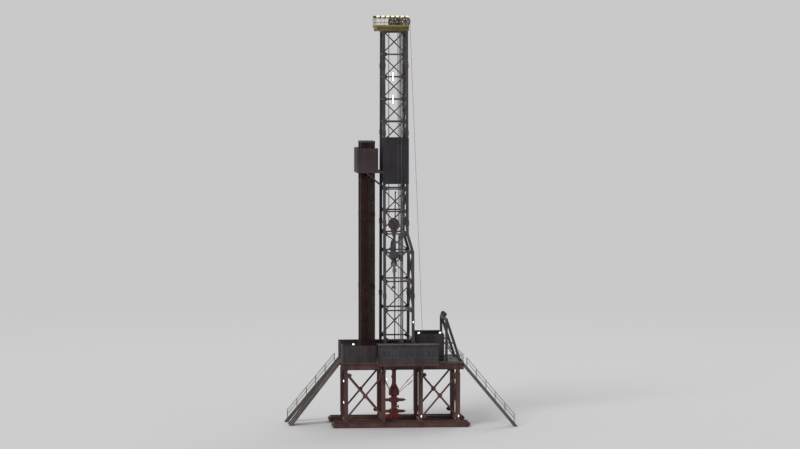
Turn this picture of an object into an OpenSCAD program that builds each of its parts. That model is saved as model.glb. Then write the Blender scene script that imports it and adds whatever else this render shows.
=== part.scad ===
// Land drilling rig at half its real size, in working order: a four-legged lattice mast on a drill floor
// that stands on pinned legs over two base skids. Lengths are in millimetres.
// X runs from the pipe ramp to the drawworks, Y from the doghouse side to the far side, and Z is up.
// The origin is the centre of the wellhead flange, on the ground.

/* [Drill floor] */
// Height of the deck above the ground
floor_h = 4250; // [3900:50:4700]
// Distance from the well to the front edge of the deck, on the ramp side
floor_front = 3600; // [3500:20:3900]
// Distance from the well to the rear edge of the deck
floor_rear = 4400; // [4300:20:4700]
// Width of the deck
floor_w = 4600; // [4560:20:5000]
// Thickness of the deck plate
deck_t = 30; // [20:5:50]
// Depth of the floor girders
girder_h = 420; // [340:20:500]

/* [Substructure] */
// Depth of the base skid beams
skid_h = 380; // [300:20:460]
// Flange width of the skid beams and the floor girders
flange_w = 160; // [140:10:200]
// Flange and web thickness of those beams
plate_t = 22; // [16:2:30]
// Distance from the well to the middle of each skid
skid_y = 1750; // [1700:10:1800]
// Distance between the two beams of a skid
skid_gauge = 800; // [740:20:860]
// How far each skid runs past the first and the last leg
skid_end = 800; // [500:50:900]
// Distance between the leg frames
leg_pitch = 2450; // [2300:10:2500]
// Width of a leg post along the skid
post_w = 220; // [180:10:260]
// Width of a brace of the substructure
sub_brace = 110; // [80:10:130]
// Diameter of the pins that the legs swing on
leg_pin_d = 80; // [60:5:100]
// Height of a pin above the beam that carries it
pin_rise = 110; // [100:5:140]
// Thickness of a clevis ear
ear_t = 20; // [16:1:26]
// Thickness of the lug between two ears
lug_t = 60; // [40:5:70]

/* [Mast] */
// Height of the mast from the deck to the crown beams
mast_h = 21650; // [20500:50:22500]
// Width of the mast at its feet, between leg centres
foot_w = 3800; // [3600:20:4000]
// Width of the mast under the crown, between leg centres
top_w = 1900; // [1800:20:2200]
// Depth of the upper mast, between leg centres
mast_depth = 1500; // [1440:20:1600]
// Depth of the foot section, between leg centres
foot_depth = 1850; // [1800:10:1950]
// Height above the deck at which the rear legs start to lean in
flare_low = 7200; // [6600:100:7600]
// Height above the deck at which the rear legs are upright again
flare_high = 8400; // [8000:100:9000]
// Width of a mast leg
leg_w = 180; // [150:10:200]
// Width of a horizontal girt
girt_w = 90; // [70:10:110]
// Width of a diagonal
diagonal_w = 70; // [50:5:90]
// Bays of the upper side bracing
upper_bays = 9; // [7:1:11]
// Thickness of gusset plates and splice plates
gusset_t = 16; // [10:1:20]
// Height of the shoes under the mast legs
shoe_h = 260; // [200:20:320]

/* [Racking board] */
// How far the board reaches in front of the well
board_reach = 2500; // [2480:10:2700]
// Distance between the fingers
finger_pitch = 125; // [118:1:126]
// Width of a finger
finger_w = 40; // [30:2:46]
// Rows of racked pipe on each side of the diving board
pipe_rows = 8; // [4:1:8]
// Stands in a row
stands_in_row = 7; // [3:1:7]
// Distance between the stands in a row
stand_pitch = 105; // [96:1:112]
// Length of a stand of three joints
stand_len = 14350; // [13900:50:14500]
// How far the stands reach over the racking board
stand_over_board = 2000; // [1700:50:2400]
// Diameter of the drill pipe
pipe_d = 64; // [50:1:70]
// Diameter of its tool joints
tool_joint_d = 84; // [76:1:88]
// Height of the wind walls round the racking board
board_wall_h = 1600; // [1200:50:1800]
// Height of the wind walls on the mast beside the board
mast_wall_h = 3000; // [2400:50:3200]

/* [Crown and hoist] */
// Depth of the crown beams
crown_beam_h = 260; // [200:20:300]
// How far the crown platform reaches in front of the well
crown_front = 1300; // [1200:20:1400]
// How far the crown platform reaches behind the well
crown_rear = 900; // [860:20:940]
// Half the width of the crown platform
crown_side = 1350; // [1250:10:1450]
// Radius of the sheaves to the line
sheave_r = 330; // [290:5:350]
// Number of sheaves in the crown and in the travelling block
sheave_count = 6; // [4:1:6]
// Distance between the sheaves
sheave_pitch = 75; // [70:1:80]
// Diameter of the drilling line
line_d = 19; // [16:1:24]
// Height of the travelling block's sheaves above the ground
block_z = 13200; // [12800:50:14200]
// Opening of the rotary table
rotary_bore_d = 476; // [400:2:500]

/* [Doghouse] */
// Length of the doghouse
doghouse_len = 3850; // [3400:50:4000]
// Width of the doghouse
doghouse_w = 1260; // [1150:10:1400]
// Height of the doghouse walls
doghouse_h = 1210; // [1100:10:1400]
// Thickness of its walls
panel_t = 40; // [30:5:60]

/* [Wind walls, stairs and ramp] */
// Height of the wind walls round the deck
wall_h = 1150; // [1000:50:1300]
// Height of the wind wall round the drawworks
tall_wall_h = 1800; // [1600:50:2000]
// Slope of the stairs from the ground, in degrees
stair_slope = 50; // [45:1:54]
// Risers in a flight
risers = 40; // [34:1:42]
// Width of a stair
stair_w = 500; // [440:10:560]
// Slope of the pipe ramp, in degrees
ramp_slope = 52; // [46:1:58]
// Width of the pipe ramp
ramp_w = 1100; // [900:20:1200]
// Height of the handrails
rail_h = 550; // [500:10:600]
// Thickness of handrail bars
rail_d = 24; // [20:2:30]

/* [Hidden] */
$fn = 24;
sides = [-1, 1];
near = -1;
far = 1;
far_away = 20000;
// A clearance at which a piece still counts as seated
seat = 0.3;

// Colours, as the rig shows them at dusk
mast_paint = [0.12, 0.12, 0.14];
oxide_paint = [0.22, 0.07, 0.06];
panel_paint = [0.08, 0.08, 0.10];
bare_steel = [0.30, 0.28, 0.27];
pipe_steel = [0.16, 0.11, 0.10];
rail_paint = [0.15, 0.13, 0.12];
machine_paint = [0.12, 0.12, 0.13];
preventer_paint = [0.20, 0.05, 0.05];
block_paint = [0.14, 0.12, 0.10];
timber = [0.20, 0.15, 0.11];
glass = [0.10, 0.14, 0.18, 0.6];
lamp_glow = [1.0, 0.93, 0.72];

// Heights that several pieces share
deck_under = floor_h - deck_t;
girder_under = deck_under - girder_h;
mast_top = floor_h + mast_h;
leg_foot = floor_h + shoe_h;
crown_deck_z = mast_top + crown_beam_h;
setback_t = 100;
pipe_foot = floor_h + setback_t;
board_z = pipe_foot + stand_len - stand_over_board;

// The mast's side planes lean in towards the top
lean = atan((foot_w - top_w) / 2 / mast_h);
function side_y(z) = foot_w / 2 - (foot_w - top_w) / 2 * (z - floor_h) / mast_h;
function along_plane(z) = (z - floor_h) / cos(lean);
front_x = -mast_depth / 2;
rear_x = mast_depth / 2;
foot_rear_x = foot_depth - mast_depth / 2;
half_leg = leg_w / 2;

first_leg_x = 300 - floor_front;
leg_xs = [for (i = [0:3]) first_leg_x + i * leg_pitch];
skid_x0 = leg_xs[0] - skid_end;
skid_x1 = leg_xs[3] + skid_end - 150;
inner_beam_y = skid_y - skid_gauge / 2;
outer_beam_y = skid_y + skid_gauge / 2;
flange_edge = inner_beam_y - flange_w / 2;

// A flat strut in a drawing, from p to q
module strut(p, q, w) {
    v = q - p;
    translate(p) rotate(atan2(v.y, v.x)) translate([0, -w / 2]) square([norm(v), w]);
}

// A square bar in space, from p to q
module bar(p, q, w) {
    v = q - p;
    length = norm(v);
    translate(p) rotate([0, acos(v.z / length), atan2(v.y, v.x)])
        translate([-w / 2, -w / 2, 0]) cube([w, w, length]);
}

// A round bar in space, from p to q
module rod(p, q, d, sides_of_rod = 8) {
    v = q - p;
    length = norm(v);
    translate(p) rotate([0, acos(v.z / length), atan2(v.y, v.x)])
        cylinder(h = length, d = d, $fn = sides_of_rod);
}

module block(low, high) {
    translate(low) cube(high - low);
}

// A drawing in X and height, made thick along Y and centred on y
module upright_x(y, t) {
    translate([0, y, 0]) rotate([90, 0, 0]) linear_extrude(t, center = true) children();
}

// A drawing in Y and height, made thick along X and centred on x
module upright_y(x, t) {
    translate([x, 0, 0]) rotate([90, 0, 90]) linear_extrude(t, center = true) children();
}

// Solids placed on the leaning side plane: X along it, Z up it
module on_side(side) {
    translate([0, side * foot_w / 2, floor_h]) rotate([side * lean, 0, 0]) children();
}

// A drawing in X and distance up the leaning side plane, centred on a plane that lies out by the given offset
module in_side(side, t, out = 0) {
    on_side(side) upright_x(side * out, t) children();
}

// Outline of a wide-flange beam, standing on the drawing's origin
module beam_outline(h, w, t) {
    translate([-w / 2, 0]) square([w, t]);
    translate([-w / 2, h - t]) square([w, t]);
    translate([-t / 2, 0]) square([t, h]);
}

module beam_along_x(x0, x1, y, z, h, w = flange_w, t = plate_t) {
    translate([x0, y, z]) rotate([90, 0, 90]) linear_extrude(x1 - x0) beam_outline(h, w, t);
}

module beam_along_y(x, y0, y1, z, h, w = flange_w, t = plate_t) {
    translate([x, y1, z]) rotate([90, 0, 0]) linear_extrude(y1 - y0) beam_outline(h, w, t);
}

// Outline of trapezoid-ribbed sheet, as long as the panel and lying along the drawing's x axis
rib_pitch = 120;
rib_depth = 22;
sheet_t = 8;
function rib_top(length) = [
    for (i = [0:floor(length / rib_pitch) - 1])
        for (p = [[0, 0], [0.30, 0], [0.42, 1], [0.88, 1]])
            [(i + p.x) * length / floor(length / rib_pitch), p.y * rib_depth]
];
module ribbed_sheet(length) {
    top = concat(rib_top(length), [[length, 0]]);
    n = len(top);
    polygon(concat(top, [for (i = [n - 1:-1:0]) top[i] + [0, sheet_t]]));
}

/* Substructure */

post_ys = [inner_beam_y, outer_beam_y];
pin_r = leg_pin_d / 2;
ear_r = pin_r + 45;
ear_clear = 1;
ear_y = lug_t / 2 + ear_clear + ear_t / 2;

// Pair of clevis ears that stands on a beam, or hangs under one when turned over
module clevis(x, y, z, down = false) {
    for (s = sides) upright_x(y + s * ear_y, ear_t) translate([x, z]) mirror([0, down ? 1 : 0]) difference() {
        union() {
            translate([-ear_r - 20, 0]) square([2 * ear_r + 40, 30]);
            translate([-ear_r, 0]) square([2 * ear_r, pin_rise]);
            translate([0, pin_rise]) circle(r = ear_r, $fn = 32);
        }
        translate([0, pin_rise]) circle(r = pin_r + seat, $fn = 32);
    }
}

// Stiffeners on the open side of an outer beam, under each leg
module stiffeners(side, z, h) {
    rim_y = side * (outer_beam_y + flange_w / 2 - 8);
    for (x = leg_xs) for (s = sides)
        block([x + s * 80 - plate_t / 2, min(side * outer_beam_y, rim_y), z + plate_t],
              [x + s * 80 + plate_t / 2, max(side * outer_beam_y, rim_y), z + h - plate_t]);
}

// Two beams with cross members, leg clevises and a lifting pipe at each end
module base_skid(side) {
    for (y = post_ys) beam_along_x(skid_x0, skid_x1, side * y, 0, skid_h);
    for (x = leg_xs) {
        block([x - post_w / 2, side * skid_y - skid_gauge / 2, 2 * plate_t],
              [x + post_w / 2, side * skid_y + skid_gauge / 2, skid_h - 2 * plate_t]);
        for (y = post_ys) clevis(x, side * y, skid_h);
    }
    stiffeners(side, 0, skid_h);
    for (x = [skid_x0, skid_x1])
        translate([x, side * skid_y - skid_gauge / 2 - flange_w / 2, skid_h / 2]) rotate([-90, 0, 0])
            cylinder(h = skid_gauge + flange_w, r = skid_h / 2 - 50);
    for (x = spreader_xs)
        block([x - spreader_plate / 2, side * inner_beam_y - flange_w / 2, plate_t],
              [x + spreader_plate / 2, side * inner_beam_y + flange_w / 2, skid_h - plate_t]);
}

module base_skids() {
    color(oxide_paint) for (side = sides) base_skid(side);
}

spreader_plate = 200;
spreader_xs = [leg_xs[0], leg_xs[2], leg_xs[3]];

// Beams that hold the skids apart, with end plates pinned to the skids
module spreader(x, z, h) {
    beam_along_y(x, -flange_edge + plate_t, flange_edge - plate_t, z, h, 140, plate_t);
    for (side = sides)
        block([x - spreader_plate / 2, side * (flange_edge - plate_t / 2) - plate_t / 2, z],
              [x + spreader_plate / 2, side * (flange_edge - plate_t / 2) + plate_t / 2, z + h]);
}

module base_spreaders() {
    color(oxide_paint) for (x = spreader_xs) spreader(x, plate_t, skid_h - 2 * plate_t);
}

post_low = skid_h + pin_rise + ear_r + 20;
post_high = girder_under - pin_rise - ear_r - 20;
post_half_y = flange_w / 2 - 10;

// Lug and pin at one end of a post
module post_lug(x, y, pin_z, end_z) {
    upright_x(y, lug_t) {
        translate([x, pin_z]) circle(r = ear_r - 4, $fn = 32);
        translate([x - ear_r + 4, min(pin_z, end_z)]) square([2 * ear_r - 8, abs(end_z - pin_z)]);
    }
    pin_len = 2 * ear_y + ear_t + 50;
    translate([x, y - pin_len / 2, pin_z]) rotate([-90, 0, 0]) cylinder(h = pin_len, r = pin_r);
}

// Ladder-like leg frame: two posts on pins, with rungs and diagonals between them
module support_leg(x, side) {
    for (y = post_ys) {
        block([x - post_w / 2, side * y - post_half_y, post_low],
              [x + post_w / 2, side * y + post_half_y, post_high]);
        post_lug(x, side * y, skid_h + pin_rise, post_low);
        post_lug(x, side * y, girder_under - pin_rise, post_high);
    }
    rung_zs = [post_low + 100, (post_low + post_high) / 2, post_high - 100];
    upright_y(x, sub_brace) {
        for (z = rung_zs) strut([side * post_ys[0], z], [side * post_ys[1], z], sub_brace);
        for (i = [0, 1])
            strut([side * post_ys[i], rung_zs[i]], [side * post_ys[1 - i], rung_zs[i + 1]], sub_brace * 0.8);
    }
}

module support_legs() {
    color(oxide_paint) for (side = sides) for (x = leg_xs) support_leg(x, side);
}

// Crossed diagonals in a bay, drawn between two faces, with gussets in the corners and where they cross
gusset_len = 260;
module crossed_bay(x0, x1, z0, z1, w) {
    intersection() {
        translate([x0, z0]) square([x1 - x0, z1 - z0]);
        union() {
            strut([x0 - w, z0 + w / 2], [x1 + w, z1 - w / 2], w);
            strut([x1 + w, z0 + w / 2], [x0 - w, z1 - w / 2], w);
        }
    }
}
module bay_gussets(x0, x1, z0, z1) {
    for (c = [[x0, z0, 1, 1], [x1, z0, -1, 1], [x0, z1, 1, -1], [x1, z1, -1, -1]])
        translate([c[0], c[1]]) facing(c[2], c[3])
            polygon(gusset_len * [[0, 0], [0.6, 0], [1, 0.5], [0.7, 1], [0, 0.8]]);
    translate([(x0 + x1) / 2, (z0 + z1) / 2]) rotate(45)
        square(gusset_len, center = true);
}
// Turns a drawing over on either axis
module facing(sx, sy) {
    mirror([sx < 0 ? 1 : 0, 0]) mirror([0, sy < 0 ? 1 : 0]) children();
}

module substructure_braces() {
    low = post_low;
    high = post_high;
    t = sub_brace * 0.8;
    color(oxide_paint) {
        for (side = sides) for (i = [0, 2]) {
            x0 = leg_xs[i] + post_w / 2;
            x1 = leg_xs[i + 1] - post_w / 2;
            upright_x(side * outer_beam_y, t) crossed_bay(x0, x1, low, high, sub_brace);
            upright_x(side * outer_beam_y, gusset_t) bay_gussets(x0, x1, low, high);
        }
        inner_face = inner_beam_y - post_half_y;
        upright_y(leg_xs[3], t) crossed_bay(-inner_face, inner_face, low, high, sub_brace);
        upright_y(leg_xs[3], gusset_t) bay_gussets(-inner_face, inner_face, low, high);
        knee = 760;
        knee_top = girder_under + plate_t;
        for (side = sides)
            upright_y(leg_xs[0], t) intersection() {
                translate([side > 0 ? 0 : -inner_face, low]) square([inner_face, knee_top - low]);
                strut([side * (inner_face + 60), knee_top - knee - 60],
                      [side * (inner_face - knee - 60), knee_top + 60], sub_brace);
            }
    }
}

module floor_girders() {
    color(oxide_paint) for (side = sides) {
        for (y = post_ys) {
            beam_along_x(-floor_front, floor_rear, side * y, girder_under, girder_h);
            for (x = leg_xs) clevis(x, side * y, girder_under, true);
        }
        for (x = leg_xs)
            block([x - post_w / 2, side * skid_y - skid_gauge / 2, girder_under + 2 * plate_t],
                  [x + post_w / 2, side * skid_y + skid_gauge / 2, deck_under - 2 * plate_t]);
        stiffeners(side, girder_under, girder_h);
        for (x = floor_spreader_xs)
            block([x - spreader_plate / 2, side * inner_beam_y - flange_w / 2, girder_under + plate_t],
                  [x + spreader_plate / 2, side * inner_beam_y + flange_w / 2, deck_under - plate_t]);
    }
}

floor_spreader_xs = [leg_xs[0], -1500, -650, 650, leg_xs[2], leg_xs[3]];
module floor_spreaders() {
    color(oxide_paint) for (x = floor_spreader_xs) spreader(x, girder_under + plate_t, girder_h - plate_t);
}

/* Drill floor */

rotary_body_r = 320;
module drill_floor() {
    color(bare_steel) difference() {
        block([-floor_front, -floor_w / 2, deck_under], [floor_rear, floor_w / 2, floor_h]);
        translate([0, 0, deck_under - 1]) cylinder(h = deck_t + 2, r = rotary_body_r + 5, $fn = 48);
    }
}

rotary_rim_r = 430;
rotary_rim_t = 40;
rotary_depth = 230;
module rotary_table() {
    color(bare_steel) translate([0, 0, floor_h]) rotate_extrude($fn = 64) {
        bore_r = rotary_bore_d / 2;
        polygon([[bore_r, -rotary_depth], [rotary_body_r - 30, -rotary_depth],
                 [rotary_body_r, -rotary_depth + 40], [rotary_body_r, 0], [rotary_rim_r, 0],
                 [rotary_rim_r, rotary_rim_t - 12], [rotary_rim_r - 20, rotary_rim_t], [bore_r, rotary_rim_t]]);
    }
}

// First row and first stand of the racked pipe
row_x0 = -2240;
row_y0 = 420;
rows_len = (pipe_rows - 1) * finger_pitch;
module setback_mats() {
    color(timber) for (side = sides)
        block([row_x0 - 160, side * (row_y0 + 340) - 470, floor_h],
              [row_x0 + rows_len + 160, side * (row_y0 + 340) + 470, pipe_foot]);
}

// Shoe that the mast was raised on: the leg's foot stands in it, on a pin between two ears
shoe_w = 380;
shoe_plate_t = 40;
shoe_pin_r = 55;
shoe_pin_up = shoe_h + 170;
shoe_ear_t = 32;
module mast_shoe(x, side) {
    y = side * foot_w / 2;
    ear_top = 130;
    block([x - shoe_w / 2, y - shoe_w / 2, floor_h], [x + shoe_w / 2, y + shoe_w / 2, floor_h + shoe_plate_t]);
    intersection() {
        union() {
            for (s = sides) in_side(side, shoe_ear_t, s * (half_leg + seat + shoe_ear_t / 2)) {
                translate([x, shoe_pin_up]) circle(r = ear_top, $fn = 40);
                polygon([[x - shoe_w / 2, -100], [x + shoe_w / 2, -100], [x + ear_top, shoe_pin_up],
                         [x - ear_top, shoe_pin_up]]);
            }
            on_side(side) translate([x, -half_leg - shoe_ear_t - 40, shoe_pin_up]) rotate([-90, 0, 0])
                cylinder(h = leg_w + 2 * shoe_ear_t + 80, r = shoe_pin_r);
        }
        block([x - shoe_w, y - shoe_w, floor_h], [x + shoe_w, y + shoe_w, floor_h + 3 * shoe_h]);
    }
    on_side(side) block([x - half_leg, -half_leg - shoe_ear_t / 2, shoe_plate_t / 2],
                        [x + half_leg, half_leg + shoe_ear_t / 2, shoe_h - 60]);
    block([x - half_leg, y - half_leg, floor_h], [x + half_leg, y + half_leg, leg_foot]);
}
module mast_shoes() {
    color(mast_paint) for (side = sides) for (x = [front_x, foot_rear_x]) mast_shoe(x, side);
}

// Blowout preventers on the wellhead, from the flange up to the bell nipple
flange_r = 192;
bolt_circle_r = 168;
stud_hole_r = 12.5;
stud_count = 20;
bop_bore_r = 86;
module bop_flange(z) {
    translate([0, 0, z]) cylinder(h = 70, r = flange_r, $fn = 48);
}
// Ram preventer: body with a bolted bonnet and an operator on each side
ram_h = 300;
module ram_preventer(z) {
    block([-240, -250, z], [240, 250, z + ram_h]);
    translate([0, 0, z + 20]) cylinder(h = ram_h - 40, r = 300, $fn = 32);
    for (side = sides) translate([side * 240, 0, z + ram_h / 2]) rotate([0, side * 90, 0]) {
        translate([-115, -170, 0]) cube([230, 340, 70]);
        translate([-90, -140, 0]) cube([180, 280, 260]);
        cylinder(h = 420, r = 95);
        cylinder(h = 470, r = 60);
        cylinder(h = 560, r = 28);
    }
}

// Side outlet with its two gate valves
module outlet(z, side) {
    translate([0, 0, z]) rotate([-side * 90, 0, 0]) {
        cylinder(h = 1050, r = 45);
        for (y = [330, 640, 960]) translate([0, 0, y]) cylinder(h = 50, r = 105, $fn = 32);
        for (y = [510, 830]) {
            translate([-85, -95, y - 85]) cube([170, 190, 170]);
            translate([0, 0, y]) rotate([0, 90, 0]) {
                cylinder(h = 240, r = 34);
                difference() {
                    translate([0, 0, 218]) cylinder(h = 22, r = 110);
                    for (a = [0:90:270]) rotate(a) translate([14, 14, 217]) cube([56, 56, 24]);
                }
            }
        }
    }
}

bop_body_r = 350;
module bop_stack() {
    low_ram = 400;
    spool = low_ram + 2 * ram_h + 70;
    top_ram = spool + 380;
    annular = top_ram + ram_h + 140;
    flange_zs = [0, low_ram - 70, low_ram + 2 * ram_h, spool + 310, top_ram + ram_h, annular - 70,
                 annular + 640];
    color(preventer_paint) difference() {
        union() {
            for (z = flange_zs) bop_flange(z);
            cylinder(h = 3640, r = 140);
            for (z = [low_ram, low_ram + ram_h, top_ram]) ram_preventer(z);
            translate([0, 0, spool]) cylinder(h = 310, r = 190, $fn = 32);
            for (side = sides) outlet(spool + 155, side);
            translate([0, 0, annular]) rotate_extrude($fn = 48)
                polygon([[0, 0], [290, 0], [bop_body_r, 60], [bop_body_r, 300], [330, 330], [330, 400],
                         [300, 480], [240, 560], [210, 640], [0, 640]]);
            pad_eyes();
            translate([0, 0, 3100]) rotate([-90, 0, 0]) {
                cylinder(h = 420, r = 100);
                translate([0, 0, 400]) cylinder(h = 40, r = 150);
            }
            translate([0, 0, 3560]) cylinder(h = 80, r = 200, $fn = 32);
        }
        translate([0, 0, -1]) cylinder(h = 3700, r = bop_bore_r, $fn = 32);
        for (i = [0:stud_count - 1])
            rotate(i * 360 / stud_count) translate([bolt_circle_r, 0, -1]) cylinder(h = 72, r = stud_hole_r);
    }
}

// Turnbuckle stays that hold the stack upright between the support legs, from pad eyes on its top preventer
stay_low_z = 2120;
stay_high_z = girder_under - 400;
stay_d = 30;
eye_r = 420;
post_face_y = inner_beam_y - post_half_y;
stay_feet = [for (side = sides) for (x = [leg_xs[1], leg_xs[2]]) [x, side * post_face_y, stay_high_z]];
function stay_axis(foot) = [0, 0, stay_low_z] + foot - [0, 0, foot.z];
module pad_eyes() {
    for (foot = stay_feet) rotate(atan2(foot.y, foot.x))
        block([bop_body_r - 30, -16, stay_low_z - 20], [eye_r, 16, stay_low_z + 60]);
}
module bop_stays() {
    color(bare_steel) for (foot = stay_feet) {
        flat = norm([foot.x, foot.y]);
        start = [foot.x * (eye_r + seat) / flat, foot.y * (eye_r + seat) / flat, stay_low_z + 20];
        run = foot - start;
        difference() {
            intersection() {
                union() {
                    rod(start - run * 0.02, foot + run * 0.05, stay_d);
                    rod(start + run * 0.42, start + run * 0.60, stay_d + 24);
                }
                block([-4000, -post_face_y, 0], [4000, post_face_y, girder_under]);
            }
            translate([0, 0, stay_low_z - 200]) cylinder(h = 400, r = eye_r + 2 * seat, $fn = 64);
        }
    }
}

// Grooved drum wrapped with line, between brake discs, side frames, gear cases and motors
drum_x = 2150;
drum_z = floor_h + 620;
drum_r = 190;
drum_len = 800;
drum_frame_y = drum_len / 2 + 260;
wraps = 20;
module drum_outline() {
    wrap_pitch = drum_len / wraps;
    core = drum_r - 12;
    wrap = [[core, 0.02], [drum_r, 0.2], [drum_r, 0.8], [core, 0.98]];
    grooves = [for (i = [0:wraps - 1]) for (p = wrap) [p.x, (i + p.y) * wrap_pitch]];
    polygon(concat([[0, 0]], grooves, [[0, drum_len]]));
}
module drawworks() {
    foot = floor_h + 160;
    color(machine_paint) {
        for (s = sides) beam_along_y(drum_x + s * 480, -1350, 1350, floor_h, 160, 140, 14);
        block([drum_x - 480, -1300, floor_h + 130], [drum_x + 480, 1300, foot]);
        translate([drum_x, -1290, drum_z]) rotate([-90, 0, 0]) cylinder(h = 2580, r = 60);
        translate([drum_x, -drum_len / 2, drum_z]) rotate([-90, 0, 0]) rotate_extrude($fn = 48) drum_outline();
        for (side = sides) {
            disc_y = side * (drum_len / 2 + 120);
            translate([drum_x, side * (drum_len / 2 + 20) - 20, drum_z]) rotate([-90, 0, 0])
                cylinder(h = 40, r = 330, $fn = 48);
            translate([drum_x, disc_y - 15, drum_z]) rotate([-90, 0, 0]) cylinder(h = 30, r = 400, $fn = 48);
            for (x = [drum_x - 380, drum_x + 380]) {
                block([x - 70, disc_y - 55, drum_z - 90], [x + 70, disc_y + 55, drum_z + 90]);
                block([x - 30, disc_y - 55, foot], [x + 30, disc_y + 55, drum_z - 90]);
            }
            upright_x(side * drum_frame_y, 60)
                polygon([[drum_x - 420, foot], [drum_x + 420, foot], [drum_x + 420, foot + 120],
                         [drum_x + 200, drum_z + 110], [drum_x + 110, drum_z + 190],
                         [drum_x - 110, drum_z + 190], [drum_x - 200, drum_z + 110],
                         [drum_x - 420, foot + 120]]);
            translate([drum_x, side * drum_frame_y - 70, drum_z]) rotate([-90, 0, 0])
                cylinder(h = 140, r = 125);
            upright_x(side * (drum_frame_y + 130), 150) difference() {
                union() {
                    translate([drum_x, drum_z]) circle(r = 260, $fn = 48);
                    translate([drum_x - 260, foot]) square([520, drum_z - foot]);
                    translate([drum_x + 60, foot]) square([370, 520]);
                }
                translate([drum_x + 380, foot + 470]) square([60, 60]);
            }
            motor_y = side * 1140;
            translate([drum_x + 60, motor_y - 190, drum_z - 60]) rotate([-90, 0, 0]) {
                cylinder(h = 380, r = 225, $fn = 40);
                for (y = [0, 350]) translate([0, 0, y]) cylinder(h = 30, r = 245, $fn = 40);
            }
            block([drum_x - 120, motor_y - 170, foot], [drum_x + 240, motor_y + 170, drum_z - 200]);
            block([drum_x - 60, motor_y - 120, drum_z + 140], [drum_x + 180, motor_y + 120, drum_z + 250]);
        }
    }
}

// Frame whose cross beam carried the raising line of the mast
raiser_x = 3300;
raiser_h = 2850;
raiser_top = floor_h + raiser_h;
raiser_w = 160;
raiser_foot_x = floor_rear - 120;
module raising_frame() {
    post_x = raiser_x;
    knee = 380;
    color(mast_paint) {
        for (side = sides) {
            upright_x(side * skid_y, raiser_w) intersection() {
                translate([post_x - raiser_w, floor_h]) square([far_away, raiser_h]);
                union() {
                    strut([post_x, floor_h], [post_x, raiser_top], raiser_w);
                    strut([post_x, raiser_top - 60], [raiser_foot_x, floor_h - 200], raiser_w);
                }
            }
            upright_x(side * skid_y, 90) {
                strut([post_x, floor_h + 1250], [raiser_foot_x - 420, floor_h + 1250], 90);
                strut([post_x, floor_h + 1250], [raiser_foot_x - 130, floor_h + 60], 70);
            }
            block([post_x - 170, side * skid_y - 130, floor_h],
                  [post_x + 170, side * skid_y + 130, floor_h + 30]);
            upright_y(post_x, 30)
                polygon([[side * (skid_y - raiser_w / 2), raiser_top - 160],
                         [side * (skid_y - raiser_w / 2 - knee), raiser_top - 160],
                         [side * (skid_y - raiser_w / 2), raiser_top - 160 - knee]]);
        }
        block([post_x - raiser_w / 2, -skid_y, raiser_top - 160], [post_x + raiser_w / 2, skid_y, raiser_top]);
        for (side = sides) {
            for (s = sides)
                block([post_x - 60, side * 500 + s * 62 - 10, raiser_top],
                      [post_x + 60, side * 500 + s * 62 + 10, raiser_top + 240]);
            translate([post_x, side * 500, raiser_top + 170]) rotate([-90, 0, 0]) {
                translate([0, 0, -40]) cylinder(h = 80, r = 150, $fn = 32);
                translate([0, 0, -85]) cylinder(h = 170, r = 25);
            }
        }
    }
}

/* Doghouse */

doghouse_x0 = -1250;
doghouse_x1 = doghouse_x0 + doghouse_len;
doghouse_y1 = -floor_w / 2 - 40;
doghouse_y0 = doghouse_y1 - doghouse_w;
doghouse_floor_t = 40;
walls_foot = floor_h + doghouse_floor_t;
walls_top = walls_foot + doghouse_h;
bracket_xs = [leg_xs[1], leg_xs[2]];

// Deck plate outside the girders, on brackets off the outer girder
module doghouse_platform() {
    edge = -floor_w / 2;
    girder_face = -outer_beam_y - flange_w / 2;
    color(oxide_paint) {
        block([doghouse_x0 - 60, doghouse_y0 - 40, floor_h - 60], [doghouse_x1 + 60, edge, floor_h]);
        block([doghouse_x0, doghouse_y0, floor_h], [doghouse_x1, doghouse_y1, walls_foot]);
        for (x = bracket_xs)
            upright_y(x, 80) difference() {
                polygon([[doghouse_y0, floor_h - 60], [girder_face, floor_h - 60],
                         [girder_face, girder_under - 900], [girder_face - 40, girder_under - 900],
                         [doghouse_y0, floor_h - 180]]);
                polygon([[doghouse_y0 + 330, floor_h - 160], [girder_face - 90, floor_h - 160],
                         [girder_face - 90, girder_under - 650]]);
            }
        for (x = bracket_xs)
            block([x - 40, girder_face, girder_under + 60], [x + 40, girder_face + 20, deck_under - 60]);
    }
}

window_sill = 430;
window_h = 500;
window_w = 640;
window_gap = 90;
windows = 5;
door_w = 440;
door_h = 1040;
door_x = doghouse_x1 - 700;
function window_x(i) = (doghouse_x0 + doghouse_x1) / 2 + (i - (windows - 1) / 2) * (window_w + window_gap);

end_window_w = 700;
end_window_y = (doghouse_y0 + doghouse_y1) / 2;
frame_w = 36;
frame_out = 14;

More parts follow.
